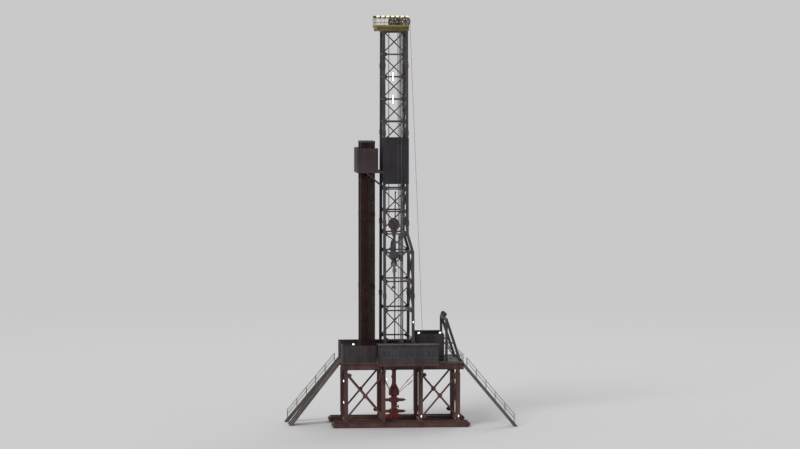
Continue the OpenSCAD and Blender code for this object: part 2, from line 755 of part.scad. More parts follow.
// Opening of the long wall's window, widened and pushed out by the given amounts
module window_block(i, y, wider, t) {
    block([window_x(i) - window_w / 2 - wider, y - t, walls_foot + window_sill - wider],
          [window_x(i) + window_w / 2 + wider, y + t, walls_foot + window_sill + window_h + wider]);
}
module end_window_block(x, wider, t) {
    block([x - t, end_window_y - end_window_w / 2 - wider, walls_foot + window_sill - wider],
          [x + t, end_window_y + end_window_w / 2 + wider, walls_foot + window_sill + window_h + wider]);
}
module door_block(wider, t) {
    block([door_x - door_w / 2 - wider, doghouse_y1 - panel_t - t, walls_foot - (wider > 0 ? 0 : 1)],
          [door_x + door_w / 2 + wider, doghouse_y1 + t, walls_foot + door_h + wider]);
}
module doghouse_walls() {
    rib = 26;
    color(panel_paint) difference() {
        union() {
            block([doghouse_x0, doghouse_y0, walls_foot], [doghouse_x1, doghouse_y1, walls_top]);
            for (i = [0:windows - 1]) window_block(i, doghouse_y0, frame_w, frame_out);
            for (i = [0:2]) window_block(i, doghouse_y1, frame_w, frame_out);
            for (x = [doghouse_x0, doghouse_x1]) end_window_block(x, frame_w, frame_out);
            door_block(frame_w, frame_out);
            for (x = [doghouse_x0, doghouse_x1]) for (y = [doghouse_y0, doghouse_y1])
                block([x - 10, y - 10, walls_foot], [x + 10, y + 10, walls_top]);
            for (z = [walls_foot + 30, walls_top - 60])
                block([doghouse_x0 - 8, doghouse_y0 - 8, z], [doghouse_x1 + 8, doghouse_y1 + 8, z + 30]);
            for (i = [0:windows]) for (z = [walls_foot + 60])
                block([window_x(i) - window_w / 2 - window_gap / 2 - rib / 2, doghouse_y0 - 8, z],
                      [window_x(i) - window_w / 2 - window_gap / 2 + rib / 2, doghouse_y0, walls_top - 60]);
        }
        block([doghouse_x0 + panel_t, doghouse_y0 + panel_t, walls_foot - 1],
              [doghouse_x1 - panel_t, doghouse_y1 - panel_t, walls_top + 1]);
        for (i = [0:windows - 1]) window_block(i, doghouse_y0, 0, 60);
        for (i = [0:2]) window_block(i, doghouse_y1, 0, 60);
        for (x = [doghouse_x0, doghouse_x1]) end_window_block(x, 0, 60);
        door_block(0, 60);
    }
}

module doghouse_roof() {
    edge_x0 = doghouse_x0 - 70;
    edge_x1 = doghouse_x1 + 70;
    edge_y0 = doghouse_y0 - 70;
    edge_y1 = doghouse_y1 + 30;
    color(panel_paint) {
        block([edge_x0, edge_y0, walls_top], [edge_x1, edge_y1, walls_top + 30]);
        difference() {
            block([edge_x0, edge_y0, walls_top], [edge_x1, edge_y1, walls_top + 70]);
            block([edge_x0 + 12, edge_y0 + 12, walls_top + 20], [edge_x1 - 12, edge_y1 - 12, walls_top + 71]);
        }
        for (i = [1:7])
            block([edge_x0 + i * (edge_x1 - edge_x0) / 8 - 20, edge_y0 + 6, walls_top + 20],
                  [edge_x0 + i * (edge_x1 - edge_x0) / 8 + 20, edge_y1 - 6, walls_top + 46]);
    }
}

glass_t = 10;
module doghouse_glazing() {
    sill = walls_foot + window_sill;
    middle = panel_t / 2;
    color(glass) {
        for (i = [0:windows - 1])
            block([window_x(i) - window_w / 2, doghouse_y0 + middle - glass_t / 2, sill],
                  [window_x(i) + window_w / 2, doghouse_y0 + middle + glass_t / 2, sill + window_h]);
        for (i = [0:2])
            block([window_x(i) - window_w / 2, doghouse_y1 - middle - glass_t / 2, sill],
                  [window_x(i) + window_w / 2, doghouse_y1 - middle + glass_t / 2, sill + window_h]);
        for (x = [doghouse_x0 + middle, doghouse_x1 - middle])
            block([x - glass_t / 2, end_window_y - end_window_w / 2, sill],
                  [x + glass_t / 2, end_window_y + end_window_w / 2, sill + window_h]);
    }
}

module doghouse_door() {
    color(oxide_paint)
        block([door_x - door_w / 2, doghouse_y1 - panel_t + 5, walls_foot],
              [door_x + door_w / 2, doghouse_y1 - 5, walls_foot + door_h]);
}

/* Wind walls, rails, ramp and stairs */

// Ribbed sheet along X, standing on z, with its ribs outwards on the given side
module sheet_x(x0, x1, y, z, h, side) {
    translate([x0, y, z]) mirror([0, side < 0 ? 1 : 0, 0]) linear_extrude(h) ribbed_sheet(x1 - x0);
}
// Ribbed sheet along Y, with its ribs outwards on the given side
module sheet_y(x, y0, y1, z, h, side) {
    translate([x, y0, z]) mirror([side < 0 ? 1 : 0, 0, 0]) translate([0, y1 - y0, 0]) rotate(-90)
        linear_extrude(h) ribbed_sheet(y1 - y0);
}

wall_post = 50;
door_gap = 620;
wall_y = floor_w / 2 - 60;
wall_x0 = -floor_front + 60;
far_wall_x1 = 3100;
tall_x0 = 1330;
tall_x1 = 3150;
tall_y = 1500;

// Post inside a wall, set back from its sheet
module wall_posts(places, h) {
    for (p = places) block([p.x - wall_post / 2, p.y - wall_post / 2, floor_h],
                           [p.x + wall_post / 2, p.y + wall_post / 2, floor_h + h]);
}

module floor_wind_walls() {
    inset = wall_post / 2;
    stair_edge = flights[1][2] - stair_w / 2 - 20;
    post_ys = [-wall_y + inset, -door_gap - inset, door_gap + inset, stair_edge - inset];
    color(panel_paint) {
        sheet_x(wall_x0, doghouse_x0 - 60, -wall_y, floor_h, wall_h, near);
        sheet_x(wall_x0, far_wall_x1, wall_y, floor_h, wall_h, far);
        sheet_y(wall_x0, -wall_y, -door_gap, floor_h, wall_h, near);
        sheet_y(wall_x0, door_gap, stair_edge, floor_h, wall_h, near);
        for (side = sides) sheet_x(tall_x0, tall_x1, side * tall_y, floor_h, tall_wall_h, side);
        sheet_y(tall_x1, -tall_y, tall_y, floor_h, tall_wall_h, far);
        wall_posts(concat(
            [for (y = post_ys) [wall_x0 + inset, y]],
            [[doghouse_x0 - 60 - inset, -wall_y + inset]],
            [for (i = [0:4]) [wall_x0 + inset + i * (far_wall_x1 - wall_x0 - wall_post) / 4, wall_y - inset]]),
            wall_h);
        tall_step = (tall_x1 - tall_x0 - wall_post) / 2;
        wall_posts([for (side = sides) for (i = [0:2])
            [tall_x0 + inset + i * tall_step, side * (tall_y - inset)]], tall_wall_h);
    }
}

// Posts, two rails and a toe board along a level line from p to q
toe_h = 90;
toe_t = 8;
module railing(p, q, spacing = 900) {
    v = q - p;
    count = ceil(norm(v) / spacing);
    translate(p) rotate(atan2(v.y, v.x)) block([0, -toe_t / 2, 12], [norm(v), toe_t / 2, 12 + toe_h]);
    for (i = [0:count]) rod(p + v * i / count, p + v * i / count + [0, 0, rail_h], rail_d);
    for (h = [rail_h / 2, rail_h - rail_d / 2])
        rod(p + [0, 0, h], q + [0, 0, h], rail_d);
}

module handrails() {
    edge = floor_w / 2 - 30;
    rear = floor_rear - 30;
    color(rail_paint) {
        railing([far_wall_x1 + 80, edge, floor_h], [rear, edge, floor_h]);
        railing([rear, edge, floor_h], [rear, -edge + stair_w + 60, floor_h]);
        railing([doghouse_x1 + 120, -edge, floor_h], [rear, -edge, floor_h]);
        for (flight = flights) for (s = sides) stair_rail(flight, s);
    }
}

// A flight: the deck edge it leaves, the direction it runs in, and the middle of its width
flights = [[floor_rear, 1, -floor_w / 2 + stair_w / 2 + 10],
           [-floor_front, -1, floor_w / 2 - stair_w / 2 - 260]];
stringer_t = 20;
rise = floor_h / risers;
going = rise / tan(stair_slope);
stair_run = floor_h / tan(stair_slope);
stringer_w = 190;

// Posts and two rails that follow a flight, with their feet cut to the slope of the stringer
module stair_rail(flight, s) {
    y = flight[2] + s * (stair_w / 2 - stringer_t / 2);
    posts = 5;
    function foot(t) = [flight[0] + flight[1] * stair_run * t, y, floor_h * (1 - t)];
    first = 0.06;
    last = 0.94;
    difference() {
        union() {
            for (i = [0:posts]) {
                p = foot(first + (last - first) * i / posts);
                rod(p - [0, 0, rail_d], p + [0, 0, rail_h], rail_d);
            }
            for (h = [rail_h / 2, rail_h - rail_d / 2])
                rod(foot(first) + [0, 0, h], foot(last) + [0, 0, h], rail_d);
        }
        stringer(flight, y, 3 * stringer_t);
    }
}

// Plate cut level on the ground and upright at the deck edge
module stringer_outline() {
    drop = stringer_w / cos(stair_slope);
    intersection() {
        polygon([[0, floor_h], [stair_run, 0], [stair_run - drop / tan(stair_slope), 0], [0, floor_h - drop]]);
        square([stair_run, floor_h]);
    }
}
module stringer(flight, y, t = stringer_t) {
    translate([flight[0], 0, 0]) mirror([flight[1] < 0 ? 1 : 0, 0, 0]) upright_x(y, t) stringer_outline();
}
module stair_stringers() {
    color(bare_steel) for (flight = flights) for (s = sides)
        stringer(flight, flight[2] + s * (stair_w / 2 - stringer_t / 2));
}

tread_t = 16;
module stair_treads() {
    half = stair_w / 2 - stringer_t;
    color(bare_steel) for (flight = flights)
        translate([flight[0], flight[2], 0]) mirror([flight[1] < 0 ? 1 : 0, 0, 0])
            for (i = [1:risers - 1])
                block([max(0, i * going - going - 8), -half, floor_h - i * rise - tread_t],
                      [i * going + 4, half, floor_h - i * rise]);
}

ramp_run = floor_h / tan(ramp_slope);
ramp_t = 30;
ramp_side_h = 200;
ramp_lip = 60;
ramp_rib_pitch = 620;
module pipe_ramp() {
    slant = cos(ramp_slope);
    // Band that lies along the ramp, from a height over its plate down to a depth, both measured square to it
    module sloping(top, deep) {
        polygon([[0, floor_h + top / slant], [ramp_run + top / sin(ramp_slope), 0],
                 [ramp_run + (top - deep) / sin(ramp_slope), 0], [0, floor_h + (top - deep) / slant]]);
    }
    ribs = floor(floor_h / sin(ramp_slope) / ramp_rib_pitch);
    color(bare_steel) translate([-floor_front, 0, 0]) mirror([1, 0, 0]) {
        upright_x(0, ramp_w) sloping(0, ramp_t);
        for (s = sides) {
            upright_x(s * (ramp_w / 2 - 10), 20) sloping(ramp_lip, ramp_side_h);
            for (top = [ramp_lip, ramp_lip - ramp_side_h + 16])
                upright_x(s * (ramp_w / 2 - 40), 80) sloping(top, 16);
        }
        for (i = [1:ribs])
            translate([0, 0, floor_h]) rotate([0, ramp_slope, 0])
                block([i * ramp_rib_pitch - 30, -ramp_w / 2 + 15, -ramp_t - 90],
                      [i * ramp_rib_pitch + 30, ramp_w / 2 - 15, -ramp_t / 2]);
    }
}

/* Mast */

plane_len = mast_h / cos(lean) + 100;
plane_splice = flare_high / cos(lean);
plane_flare = flare_low / cos(lean);

module between_feet_and_crown() {
    intersection() {
        children();
        block([-far_away, -far_away, leg_foot], [far_away, far_away, mast_top]);
    }
}

// Bore in a leg's foot for the pin of its shoe
module foot_bore(x) {
    translate([x, shoe_pin_up]) circle(r = shoe_pin_r + seat, $fn = 32);
}

// Sleeve with two pins where the sections of a leg are joined
splice_ups = [4350, 9130, 15000, 19390];
splice_h = 320;
module leg_splice(x, side, up) {
    wide = leg_w + 2 * gusset_t;
    on_side(side) translate([x, 0, up]) {
        block([-wide / 2, -wide / 2, -splice_h / 2], [wide / 2, wide / 2, splice_h / 2]);
        for (s = sides)
            translate([0, -wide / 2 - 30, s * splice_h / 4]) rotate([-90, 0, 0])
                cylinder(h = wide + 60, r = 28);
    }
}

module front_legs() {
    color(mast_paint) between_feet_and_crown() for (side = sides) {
        in_side(side, leg_w) difference() {
            translate([front_x - half_leg, -200]) square([leg_w, plane_len + 200]);
            foot_bore(front_x);
        }
        for (up = splice_ups) leg_splice(front_x, side, up);
    }
}

function rear_line(offset) = [
    [foot_rear_x + offset, -200], [foot_rear_x + offset, plane_flare],
    [rear_x + offset, plane_splice], [rear_x + offset, plane_len]
];
function rear_centre(up) = up <= plane_flare ? foot_rear_x : up >= plane_splice ? rear_x
    : foot_rear_x + (rear_x - foot_rear_x) * (up - plane_flare) / (plane_splice - plane_flare);
module rear_legs() {
    inner = rear_line(-half_leg);
    outer = rear_line(half_leg);
    color(mast_paint) between_feet_and_crown() for (side = sides) {
        in_side(side, leg_w) difference() {
            polygon(concat(inner, [for (i = [3:-1:0]) outer[i]]));
            foot_bore(foot_rear_x);
        }
        for (up = splice_ups) leg_splice(rear_centre(up), side, up);
    }
}

// Opening of a side plane between the inner faces of its legs
module side_opening() {
    inner = rear_line(-half_leg - seat);
    front = front_x + half_leg + seat;
    polygon(concat([[front, -200]], inner, [[front, plane_len]]));
}

lower_step = 1900;
lower_girts = [for (i = [3:-1:0]) flare_low - i * lower_step];
upper_step = (mast_h - flare_high - 60) / upper_bays / cos(lean);
upper_girts = [for (i = [0:upper_bays]) plane_splice + i * upper_step];
side_girts = concat(lower_girts, upper_girts);

// Gusset plate that joins a girt and its diagonals to a leg on the given hand
module leg_gusset(x, up, hand) {
    reach = half_leg + 150;
    polygon([[x, up - 210], [x + hand * reach, up - girt_w / 2 - 10], [x + hand * reach, up + girt_w / 2 + 10],
             [x, up + 210]]);
}

module side_bracing(side) {
    flip = side > 0 ? 1 : 0;
    color(mast_paint) {
        in_side(side, girt_w) intersection() {
            side_opening();
            union() {
                for (g = side_girts) strut([front_x, g], [foot_rear_x, g], girt_w);
                for (i = [0:len(side_girts) - 2]) {
                    low = side_girts[i];
                    high = side_girts[i + 1];
                    if ((i + flip) % 2) strut([front_x, low], [rear_centre(high), high], diagonal_w);
                    else strut([rear_centre(low), low], [front_x, high], diagonal_w);
                }
            }
        }
        between_feet_and_crown() in_side(side, gusset_t) intersection() {
            side_opening();
            union() for (g = side_girts) {
                leg_gusset(front_x, g, 1);
                leg_gusset(rear_centre(g), g, -1);
            }
        }
    }
}
module side_bracing_near() { side_bracing(near); }
module side_bracing_far() { side_bracing(far); }

// Opening of the rear face between the inner faces of the rear legs
module rear_opening(z0, z1) {
    function inner_y(z) = side_y(z) - (half_leg + seat) / cos(lean);
    polygon([[-inner_y(z0), z0], [inner_y(z0), z0], [inner_y(z1), z1], [-inner_y(z1), z1]]);
}

function plane_z(g) = floor_h + g * cos(lean);
module face_panel(x, girt_zs, crossed) {
    t = girt_w - 10;
    last = len(girt_zs) - 1;
    upright_y(x, t) intersection() {
        rear_opening(girt_zs[0] - girt_w / 2, girt_zs[last] + girt_w / 2);
        union() {
            for (z = girt_zs) strut([-foot_w / 2, z], [foot_w / 2, z], girt_w);
            if (crossed)
                for (i = [0:last - 1]) {
                    y0 = side_y(girt_zs[i]);
                    y1 = side_y(girt_zs[i + 1]);
                    strut([-y0, girt_zs[i]], [y1, girt_zs[i + 1]], diagonal_w);
                    strut([y0, girt_zs[i]], [-y1, girt_zs[i + 1]], diagonal_w);
                }
        }
    }
    upright_y(x, gusset_t) intersection() {
        rear_opening(girt_zs[0] - girt_w / 2, girt_zs[last] + girt_w / 2);
        union() {
            for (z = girt_zs) for (side = sides) leg_gusset(side * side_y(z), z, -side);
            if (crossed)
                for (i = [0:last - 1]) {
                    y0 = side_y(girt_zs[i]);
                    y1 = side_y(girt_zs[i + 1]);
                    translate([0, girt_zs[i] + (girt_zs[i + 1] - girt_zs[i]) * y0 / (y0 + y1)])
                        rotate(45) square(170, center = true);
                }
        }
    }
}
rear_low_zs = [for (i = [1:3]) plane_z(lower_girts[i] - (i == 3 ? girt_w / 2 : 0))];
rear_high_zs = [for (i = [0:upper_bays]) plane_z(upper_girts[i] + (i == 0 ? girt_w / 2 : 0))];
front_zs = [for (i = [upper_bays - 4:upper_bays]) plane_z(upper_girts[i])];
module cross_bracing() {
    color(mast_paint) {
        face_panel(foot_rear_x, rear_low_zs, true);
        face_panel(rear_x, rear_high_zs, true);
        face_panel(front_x, front_zs, false);
    }
}

mast_wall_z = board_z - 800;
mast_wall_up = (mast_wall_z - floor_h) / cos(lean);
module mast_wind_walls() {
    x0 = front_x - half_leg;
    x1 = rear_x + half_leg;
    half_rear = side_y(mast_wall_z + mast_wall_h) + half_leg - 10;
    color(panel_paint) {
        for (side = sides)
            translate([0, side * foot_w / 2, floor_h]) rotate([side * lean, 0, 0])
                sheet_x(x0, x1, side * (half_leg + seat), mast_wall_up, mast_wall_h, side);
        sheet_y(x1 + seat, -half_rear, half_rear, mast_wall_z, mast_wall_h, far);
    }
}

/* Racking board */

board_side_y = 1350;
board_beam_w = 90;
board_beam_h = 140;
board_inner = board_side_y - board_beam_w / 2;
diving_w = 400;
front_face = front_x - half_leg;
module racking_board() {
    low = board_z - board_beam_h + 60;
    color(mast_paint) {
        for (side = sides) {
            block([-board_reach, side * board_side_y - board_beam_w / 2, low],
                  [front_face, side * board_side_y + board_beam_w / 2, low + board_beam_h]);
            upright_x(side * board_side_y, 60) intersection() {
                strut([front_face - 1100, low + 20], [front_face + 60, low - 900], 60);
                translate([front_face - 1200, low - 1000]) square([1200, 1000]);
            }
            for (x = [-board_reach, (-board_reach + front_face) / 2 - 180, front_face - 310 - wall_post])
                block([x, side > 0 ? board_inner + 40 : -board_side_y - board_beam_w / 2, low + board_beam_h],
                      [x + wall_post, side > 0 ? board_side_y + board_beam_w / 2 : -board_inner - 40,
                       board_z - 60 + board_wall_h]);
        }
        block([-board_reach, -board_side_y, low],
              [-board_reach + board_beam_w, board_side_y, low + board_beam_h]);
        block([front_face - 200, -board_side_y, low], [front_face - 110, board_side_y, low + board_beam_h]);
        block([-board_reach, -diving_w / 2, board_z], [front_face + 130, diving_w / 2, board_z + 30]);
    }
}

// Fingers held by the side beams, with the pipe standing between them
module board_fingers() {
    finger_h = 60;
    tip_y = diving_w / 2 + 60;
    color(mast_paint) for (side = sides) for (i = [0:pipe_rows]) {
        x = row_x0 + (i - 0.5) * finger_pitch;
        block([x - finger_w / 2, side > 0 ? tip_y : -board_inner, board_z - finger_h],
              [x + finger_w / 2, side > 0 ? board_inner : -tip_y, board_z]);
    }
}

module board_wind_walls() {
    low = board_z - 60;
    wall_in = board_side_y + board_beam_w / 2;
    color(panel_paint) {
        for (side = sides)
            sheet_x(-board_reach, front_face - 310, side * wall_in, low, board_wall_h, side);
        sheet_y(-board_reach, -wall_in, wall_in, low, board_wall_h, near);
    }
}

// A stand of three joints: the tool joints are thicker and taper into the pipe
module stand_of_pipe() {
    joint = stand_len / 3;
    body = pipe_d / 2;
    thick = tool_joint_d / 2;
    half = 130;
    taper = 30;
    upset = [[body, -half - taper], [thick, -half], [thick, half], [body, half + taper]];
    rotate_extrude($fn = 16) polygon(concat(
        [[0, 0], [thick, 0], upset[2], upset[3]],
        [for (i = [1, 2]) for (p = upset) [p.x, i * joint + p.y]],
        [[body, stand_len - half - taper], [thick, stand_len - half], [thick, stand_len], [0, stand_len]]));
}
module racked_pipe() {
    color(pipe_steel) for (side = sides) for (i = [0:pipe_rows - 1]) for (j = [0:stands_in_row - 1])
        translate([row_x0 + i * finger_pitch, side * (row_y0 + j * stand_pitch), pipe_foot]) stand_of_pipe();
}

/* Crown */

crown_beam_w = 160;
sheave_z = crown_deck_z + 330;
shaft_beam_y = sheave_count * sheave_pitch / 2 + 115;
module crown_frame() {
    low = mast_top;
    half = crown_beam_w / 2;
    color(mast_paint) {
        for (side = sides) {
            block([-crown_front + 60, side * top_w / 2 - half, low],
                  [crown_rear, side * top_w / 2 + half, crown_deck_z]);
            block([front_x, side * shaft_beam_y - 50, low], [rear_x, side * shaft_beam_y + 50, crown_deck_z]);
        }
        for (x = [front_x, rear_x]) block([x - half, -top_w / 2, low], [x + half, top_w / 2, crown_deck_z]);
        block([-crown_front + 60, -top_w / 2, low + 80], [-crown_front + 140, top_w / 2, crown_deck_z]);
        for (side = sides) for (x = [-crown_front + 100, 0, crown_rear - 50])
            block([x - 40, side > 0 ? top_w / 2 : -crown_side + 40, crown_deck_z - 100],
                  [x + 40, side > 0 ? crown_side - 40 : -top_w / 2, crown_deck_z]);
    }
}

crown_deck_t = 20;
crown_opening_x = sheave_r + 90;
module crown_platform() {
    top = crown_deck_z + crown_deck_t;
    well = shaft_beam_y + 110;
    color(mast_paint) {
        difference() {
            block([-crown_front, -crown_side, crown_deck_z], [crown_rear, crown_side, top]);
            block([-crown_opening_x, -well, crown_deck_z - 1], [crown_rear + 1, well, top + 1]);
            block([line_out - 45, dead_y - dead_r - 60, crown_deck_z - 1], [line_out + 45, 0, top + 1]);
        }
        front = -crown_front + 20;
        rear = crown_rear - 20;
        edge = crown_side - 20;
        railing([front, -edge, top], [front, edge, top], 700);
        for (side = sides) {
            railing([front, side * edge, top], [rear, side * edge, top], 700);
            railing([rear, side * (well + 30), top], [rear, side * edge, top]);
        }
    }
}

// Sheave along Z: a grooved rim on a thin web with round holes, and a hub as wide as the rim
sheave_w = 56;
web_t = 20;
web_holes = 6;
module wheel(r = sheave_r) {
    half = sheave_w / 2;
    hub = r / 3;
    flange = [[r - 40, web_t / 2], [r - 22, half], [r + rim_h, half], [r, 8]];
    side = concat([[0, half], [hub, half], [hub, web_t / 2]], flange);
    last = len(side) - 1;
    difference() {
        rotate_extrude($fn = 48) polygon(concat(side, [for (i = [last:-1:0]) [side[i].x, -side[i].y]]));
        for (i = [0:web_holes - 1]) rotate(i * 360 / web_holes) translate([(hub + r - 40) / 2, 0, -web_t])
            cylinder(h = 2 * web_t, r = r / 7);
    }
}
module sheave(x, y, z, r = sheave_r) {
    translate([x, y, z]) rotate([-90, 0, 0]) wheel(r);
}
function sheave_y(i) = (i - (sheave_count - 1) / 2) * sheave_pitch;
line_r = line_d / 2;
line_out = sheave_r + line_r + seat;
rim_h = 45;

// The fast line leaves over a sheave behind the cluster, and the dead line over one beside it
fast_r = 300;
fast_x = sheave_r + fast_r + 2 * rim_h + 40;
fast_y = sheave_y(sheave_count - 1);
fast_z = sheave_z + sheave_r - fast_r;
dead_r = 260;
dead_z = sheave_z + seat;
dead_line_out = dead_r + line_r + seat;
dead_y = sheave_y(-1) - dead_line_out;
module crown_sheaves() {
    shaft = 60;
    color(bare_steel) {
        translate([0, -shaft_beam_y - 60, sheave_z]) rotate([-90, 0, 0])
            cylinder(h = 2 * shaft_beam_y + 120, r = shaft);
        for (i = [0:sheave_count - 1]) sheave(0, sheave_y(i), sheave_z);
        for (side = sides)
            block([-140, side * shaft_beam_y - 45, crown_deck_z],
                  [140, side * shaft_beam_y + 45, sheave_z + 90]);
        sheave(fast_x, fast_y, fast_z, fast_r);
        translate([fast_x, fast_y - 90, fast_z]) rotate([-90, 0, 0]) cylinder(h = 180, r = 45);
        for (s = sides)
            block([fast_x - 60, fast_y + s * 70 - 20, crown_deck_z],
                  [fast_x + 60, fast_y + s * 70 + 20, fast_z + 60]);
        translate([line_out, dead_y, dead_z]) rotate([0, 90, 0]) {
            wheel(dead_r);
            translate([0, 0, -90]) cylinder(h = 180, r = 45);
        }
        for (s = sides)
            block([line_out + s * 70 - 20, dead_y - 60, crown_deck_z + crown_deck_t],
                  [line_out + s * 70 + 20, dead_y + 60, dead_z + 60]);
    }
}

/* Guide rails, ladder and standpipe */

rail_x = 480;
rail_y = 640;
rail_flange = 100;
rail_t = 20;
rail_web = 60;
rail_low = floor_h + 600;
rail_high = mast_top - 150;
module guide_rails() {
    girts = concat([for (z = rear_low_zs) [z, foot_rear_x]], [for (z = rear_high_zs) [z, rear_x]]);
    color(bare_steel) for (side = sides) {
        translate([rail_x, side * rail_y, rail_low]) linear_extrude(rail_high - rail_low) {
            translate([0, -rail_flange / 2]) square([rail_t, rail_flange]);
            translate([rail_t, -rail_t / 2]) square([rail_web, rail_t]);
        }
        for (g = girts)
            block([rail_x + rail_t + rail_web - 10, side * rail_y - 30, g[0] - 25],
                  [g[1] - (girt_w - 10) / 2, side * rail_y + 30, g[0] + 25]);
    }
}

ladder_w = 260;
rung_pitch = 150;
ladder_x = 250;
ladder_out = 190;
module mast_ladder() {
    length = along_plane(mast_top) - 20;
    rungs = floor(length / rung_pitch);
    color(bare_steel) {
        in_side(near, 24, ladder_out) difference() {
            translate([ladder_x - ladder_w / 2, 0]) square([ladder_w, length]);
            for (i = [0:rungs - 1])
                translate([ladder_x - ladder_w / 2 + 24, 18 + i * rung_pitch])
                    square([ladder_w - 48, rung_pitch - 18]);
        }
        standoff = ladder_out - 12 - girt_w / 2;
        for (g = side_girts) if (g < mast_wall_up || g > mast_wall_up + mast_wall_h)
            for (s = sides)
                in_side(near, standoff, girt_w / 2 + standoff / 2)
                    translate([ladder_x + s * (ladder_w / 2 - 12) - 12, g - 12]) square([24, 24]);
    }
}

standpipe_r = 36;
standpipe_foot_r = 75;
standpipe_x = 200;
standpipe_up = 10900;
module standpipe() {
    bend_r = 180;
    inside = girt_w / 2 + standpipe_r + seat;
    color(bare_steel) intersection() {
        translate([standpipe_x, foot_w / 2, floor_h]) rotate([lean, 0, 0]) translate([0, -inside, 0]) {
            translate([0, 0, -40]) cylinder(h = standpipe_up + 40, r = standpipe_r);
            translate([0, -bend_r, standpipe_up]) rotate([90, 0, 90])
                rotate_extrude(angle = 150) translate([bend_r, 0]) circle(r = standpipe_r);
            translate([0, 0, -20]) cylinder(h = 60, r = standpipe_foot_r);
        }
        block([-far_away, -far_away, floor_h], [far_away, far_away, mast_top]);
    }
}

/* Drilling line */

// Each line that rises on the rear side reaches the next sheave of the crown, and the first one the dead line's
module drilling_lines() {
    color(bare_steel) for (i = [0:sheave_count - 1]) {
        rod([-line_out, sheave_y(i), block_z], [-line_out, sheave_y(i), sheave_z], line_d);
        rod([line_out, sheave_y(i), block_z], [line_out, sheave_y(i - 1), sheave_z], line_d);
    }
}

// The fast line touches its sheave on the rear side and the drum on the mast side, and the dead line
// touches its sheave on the near side and the anchor on the mast side
fast_wrap_r = fast_r + line_r + seat;
drum_wrap_r = drum_r + line_r + seat;
fast_run = [drum_x - fast_x, drum_z - fast_z];
fast_turn = atan2(fast_run.y, fast_run.x) + acos((fast_wrap_r + drum_wrap_r) / norm(fast_run));
anchor_y = -1480;
anchor_z = floor_h + 560;
anchor_r = 170;
anchor_wrap_r = anchor_r + line_r + seat;
middle_y = anchor_y - anchor_wrap_r;
dead_run = [middle_y - dead_y, anchor_z - dead_z];
dead_turn = 360 + atan2(dead_run.y, dead_run.x) - acos((dead_line_out + anchor_wrap_r) / norm(dead_run));
module deadline_anchor() {
    color(machine_paint) {
        block([line_out - 150, middle_y - 180, floor_h], [line_out + 150, middle_y + 180, floor_h + 40]);
        for (s = sides)
            block([line_out + s * 110 - 15, middle_y - 90, floor_h],
                  [line_out + s * 110 + 15, middle_y + 90, anchor_z]);
        translate([line_out - 100, middle_y, anchor_z]) rotate([0, 90, 0])
            cylinder(h = 200, r = anchor_r, $fn = 40);
        translate([line_out - 150, middle_y, anchor_z]) rotate([0, 90, 0]) cylinder(h = 300, r = 50);
    }
}
module fast_and_dead_lines() {
    n = [cos(fast_turn), sin(fast_turn)];
    m = [cos(dead_turn), sin(dead_turn)];
    color(bare_steel) {
        rod([fast_x + n.x * fast_wrap_r, fast_y, fast_z + n.y * fast_wrap_r],
            [drum_x - n.x * drum_wrap_r, fast_y, drum_z - n.y * drum_wrap_r], line_d, $fn);
        rod([0, fast_y, sheave_z + line_out], [fast_x, fast_y, fast_z + fast_wrap_r], line_d, $fn);
        translate([fast_x, fast_y, fast_z]) rotate([90, 0, 0]) rotate(fast_turn)
            rotate_extrude(angle = 90 - fast_turn) translate([fast_wrap_r, 0]) circle(d = line_d);
        rod([line_out, dead_y + m.x * dead_line_out, dead_z + m.y * dead_line_out],
            [line_out, middle_y - m.x * anchor_wrap_r, anchor_z - m.y * anchor_wrap_r], line_d, $fn);
        translate([line_out, dead_y, dead_z]) rotate([90, 0, 90])
            rotate_extrude(angle = dead_turn) translate([dead_line_out, 0]) circle(d = line_d);
    }
}

/* Travelling block and top drive */

bail_pin_z = block_z - 700;
bail_pin_r = 55;
module travelling_block() {
    half = sheave_count * sheave_pitch / 2;
    plate = 36;
    top_r = 300;
    low_r = 170;
    top_z = block_z + 120;
    low_z = block_z - 470;
    color(block_paint) {
        for (side = sides)
            upright_x(side * (half + plate / 2 + 4), plate) difference() {
                union() {
                    translate([0, top_z]) circle(r = top_r, $fn = 48);
                    polygon([[-top_r, top_z], [-low_r, low_z], [low_r, low_z], [top_r, top_z]]);
                    translate([0, low_z]) circle(r = low_r, $fn = 48);
                }
                for (s = sides) translate([s * 170, block_z + 170]) circle(r = 55);
                translate([0, block_z - 260]) circle(r = 60);
            }
        translate([0, -half - plate - 30, block_z]) rotate([-90, 0, 0])
            cylinder(h = 2 * (half + plate + 30), r = 60);
        for (side = sides)
            translate([0, side * (half + plate + 14) - 10, block_z]) rotate([-90, 0, 0])
                cylinder(h = 20, r = 110);
        for (i = [0:sheave_count - 1]) sheave(0, sheave_y(i), block_z);
        block([-200, -half - 4, low_z - 60], [200, half + 4, low_z + 30]);
        for (s = sides)
            translate([s * 235, -half - plate, block_z + 250]) rotate([-90, 0, 0])
                cylinder(h = 2 * (half + plate), r = 30);
        translate([0, 0, low_z - 130]) cylinder(h = 140, r = 105);
        upright_x(0, 130) difference() {
            union() {
                translate([-95, bail_pin_z]) square([190, low_z - 100 - bail_pin_z]);
                translate([0, bail_pin_z]) circle(r = 120, $fn = 40);
            }
            translate([0, bail_pin_z]) circle(r = bail_pin_r + seat, $fn = 32);
        }
    }
}

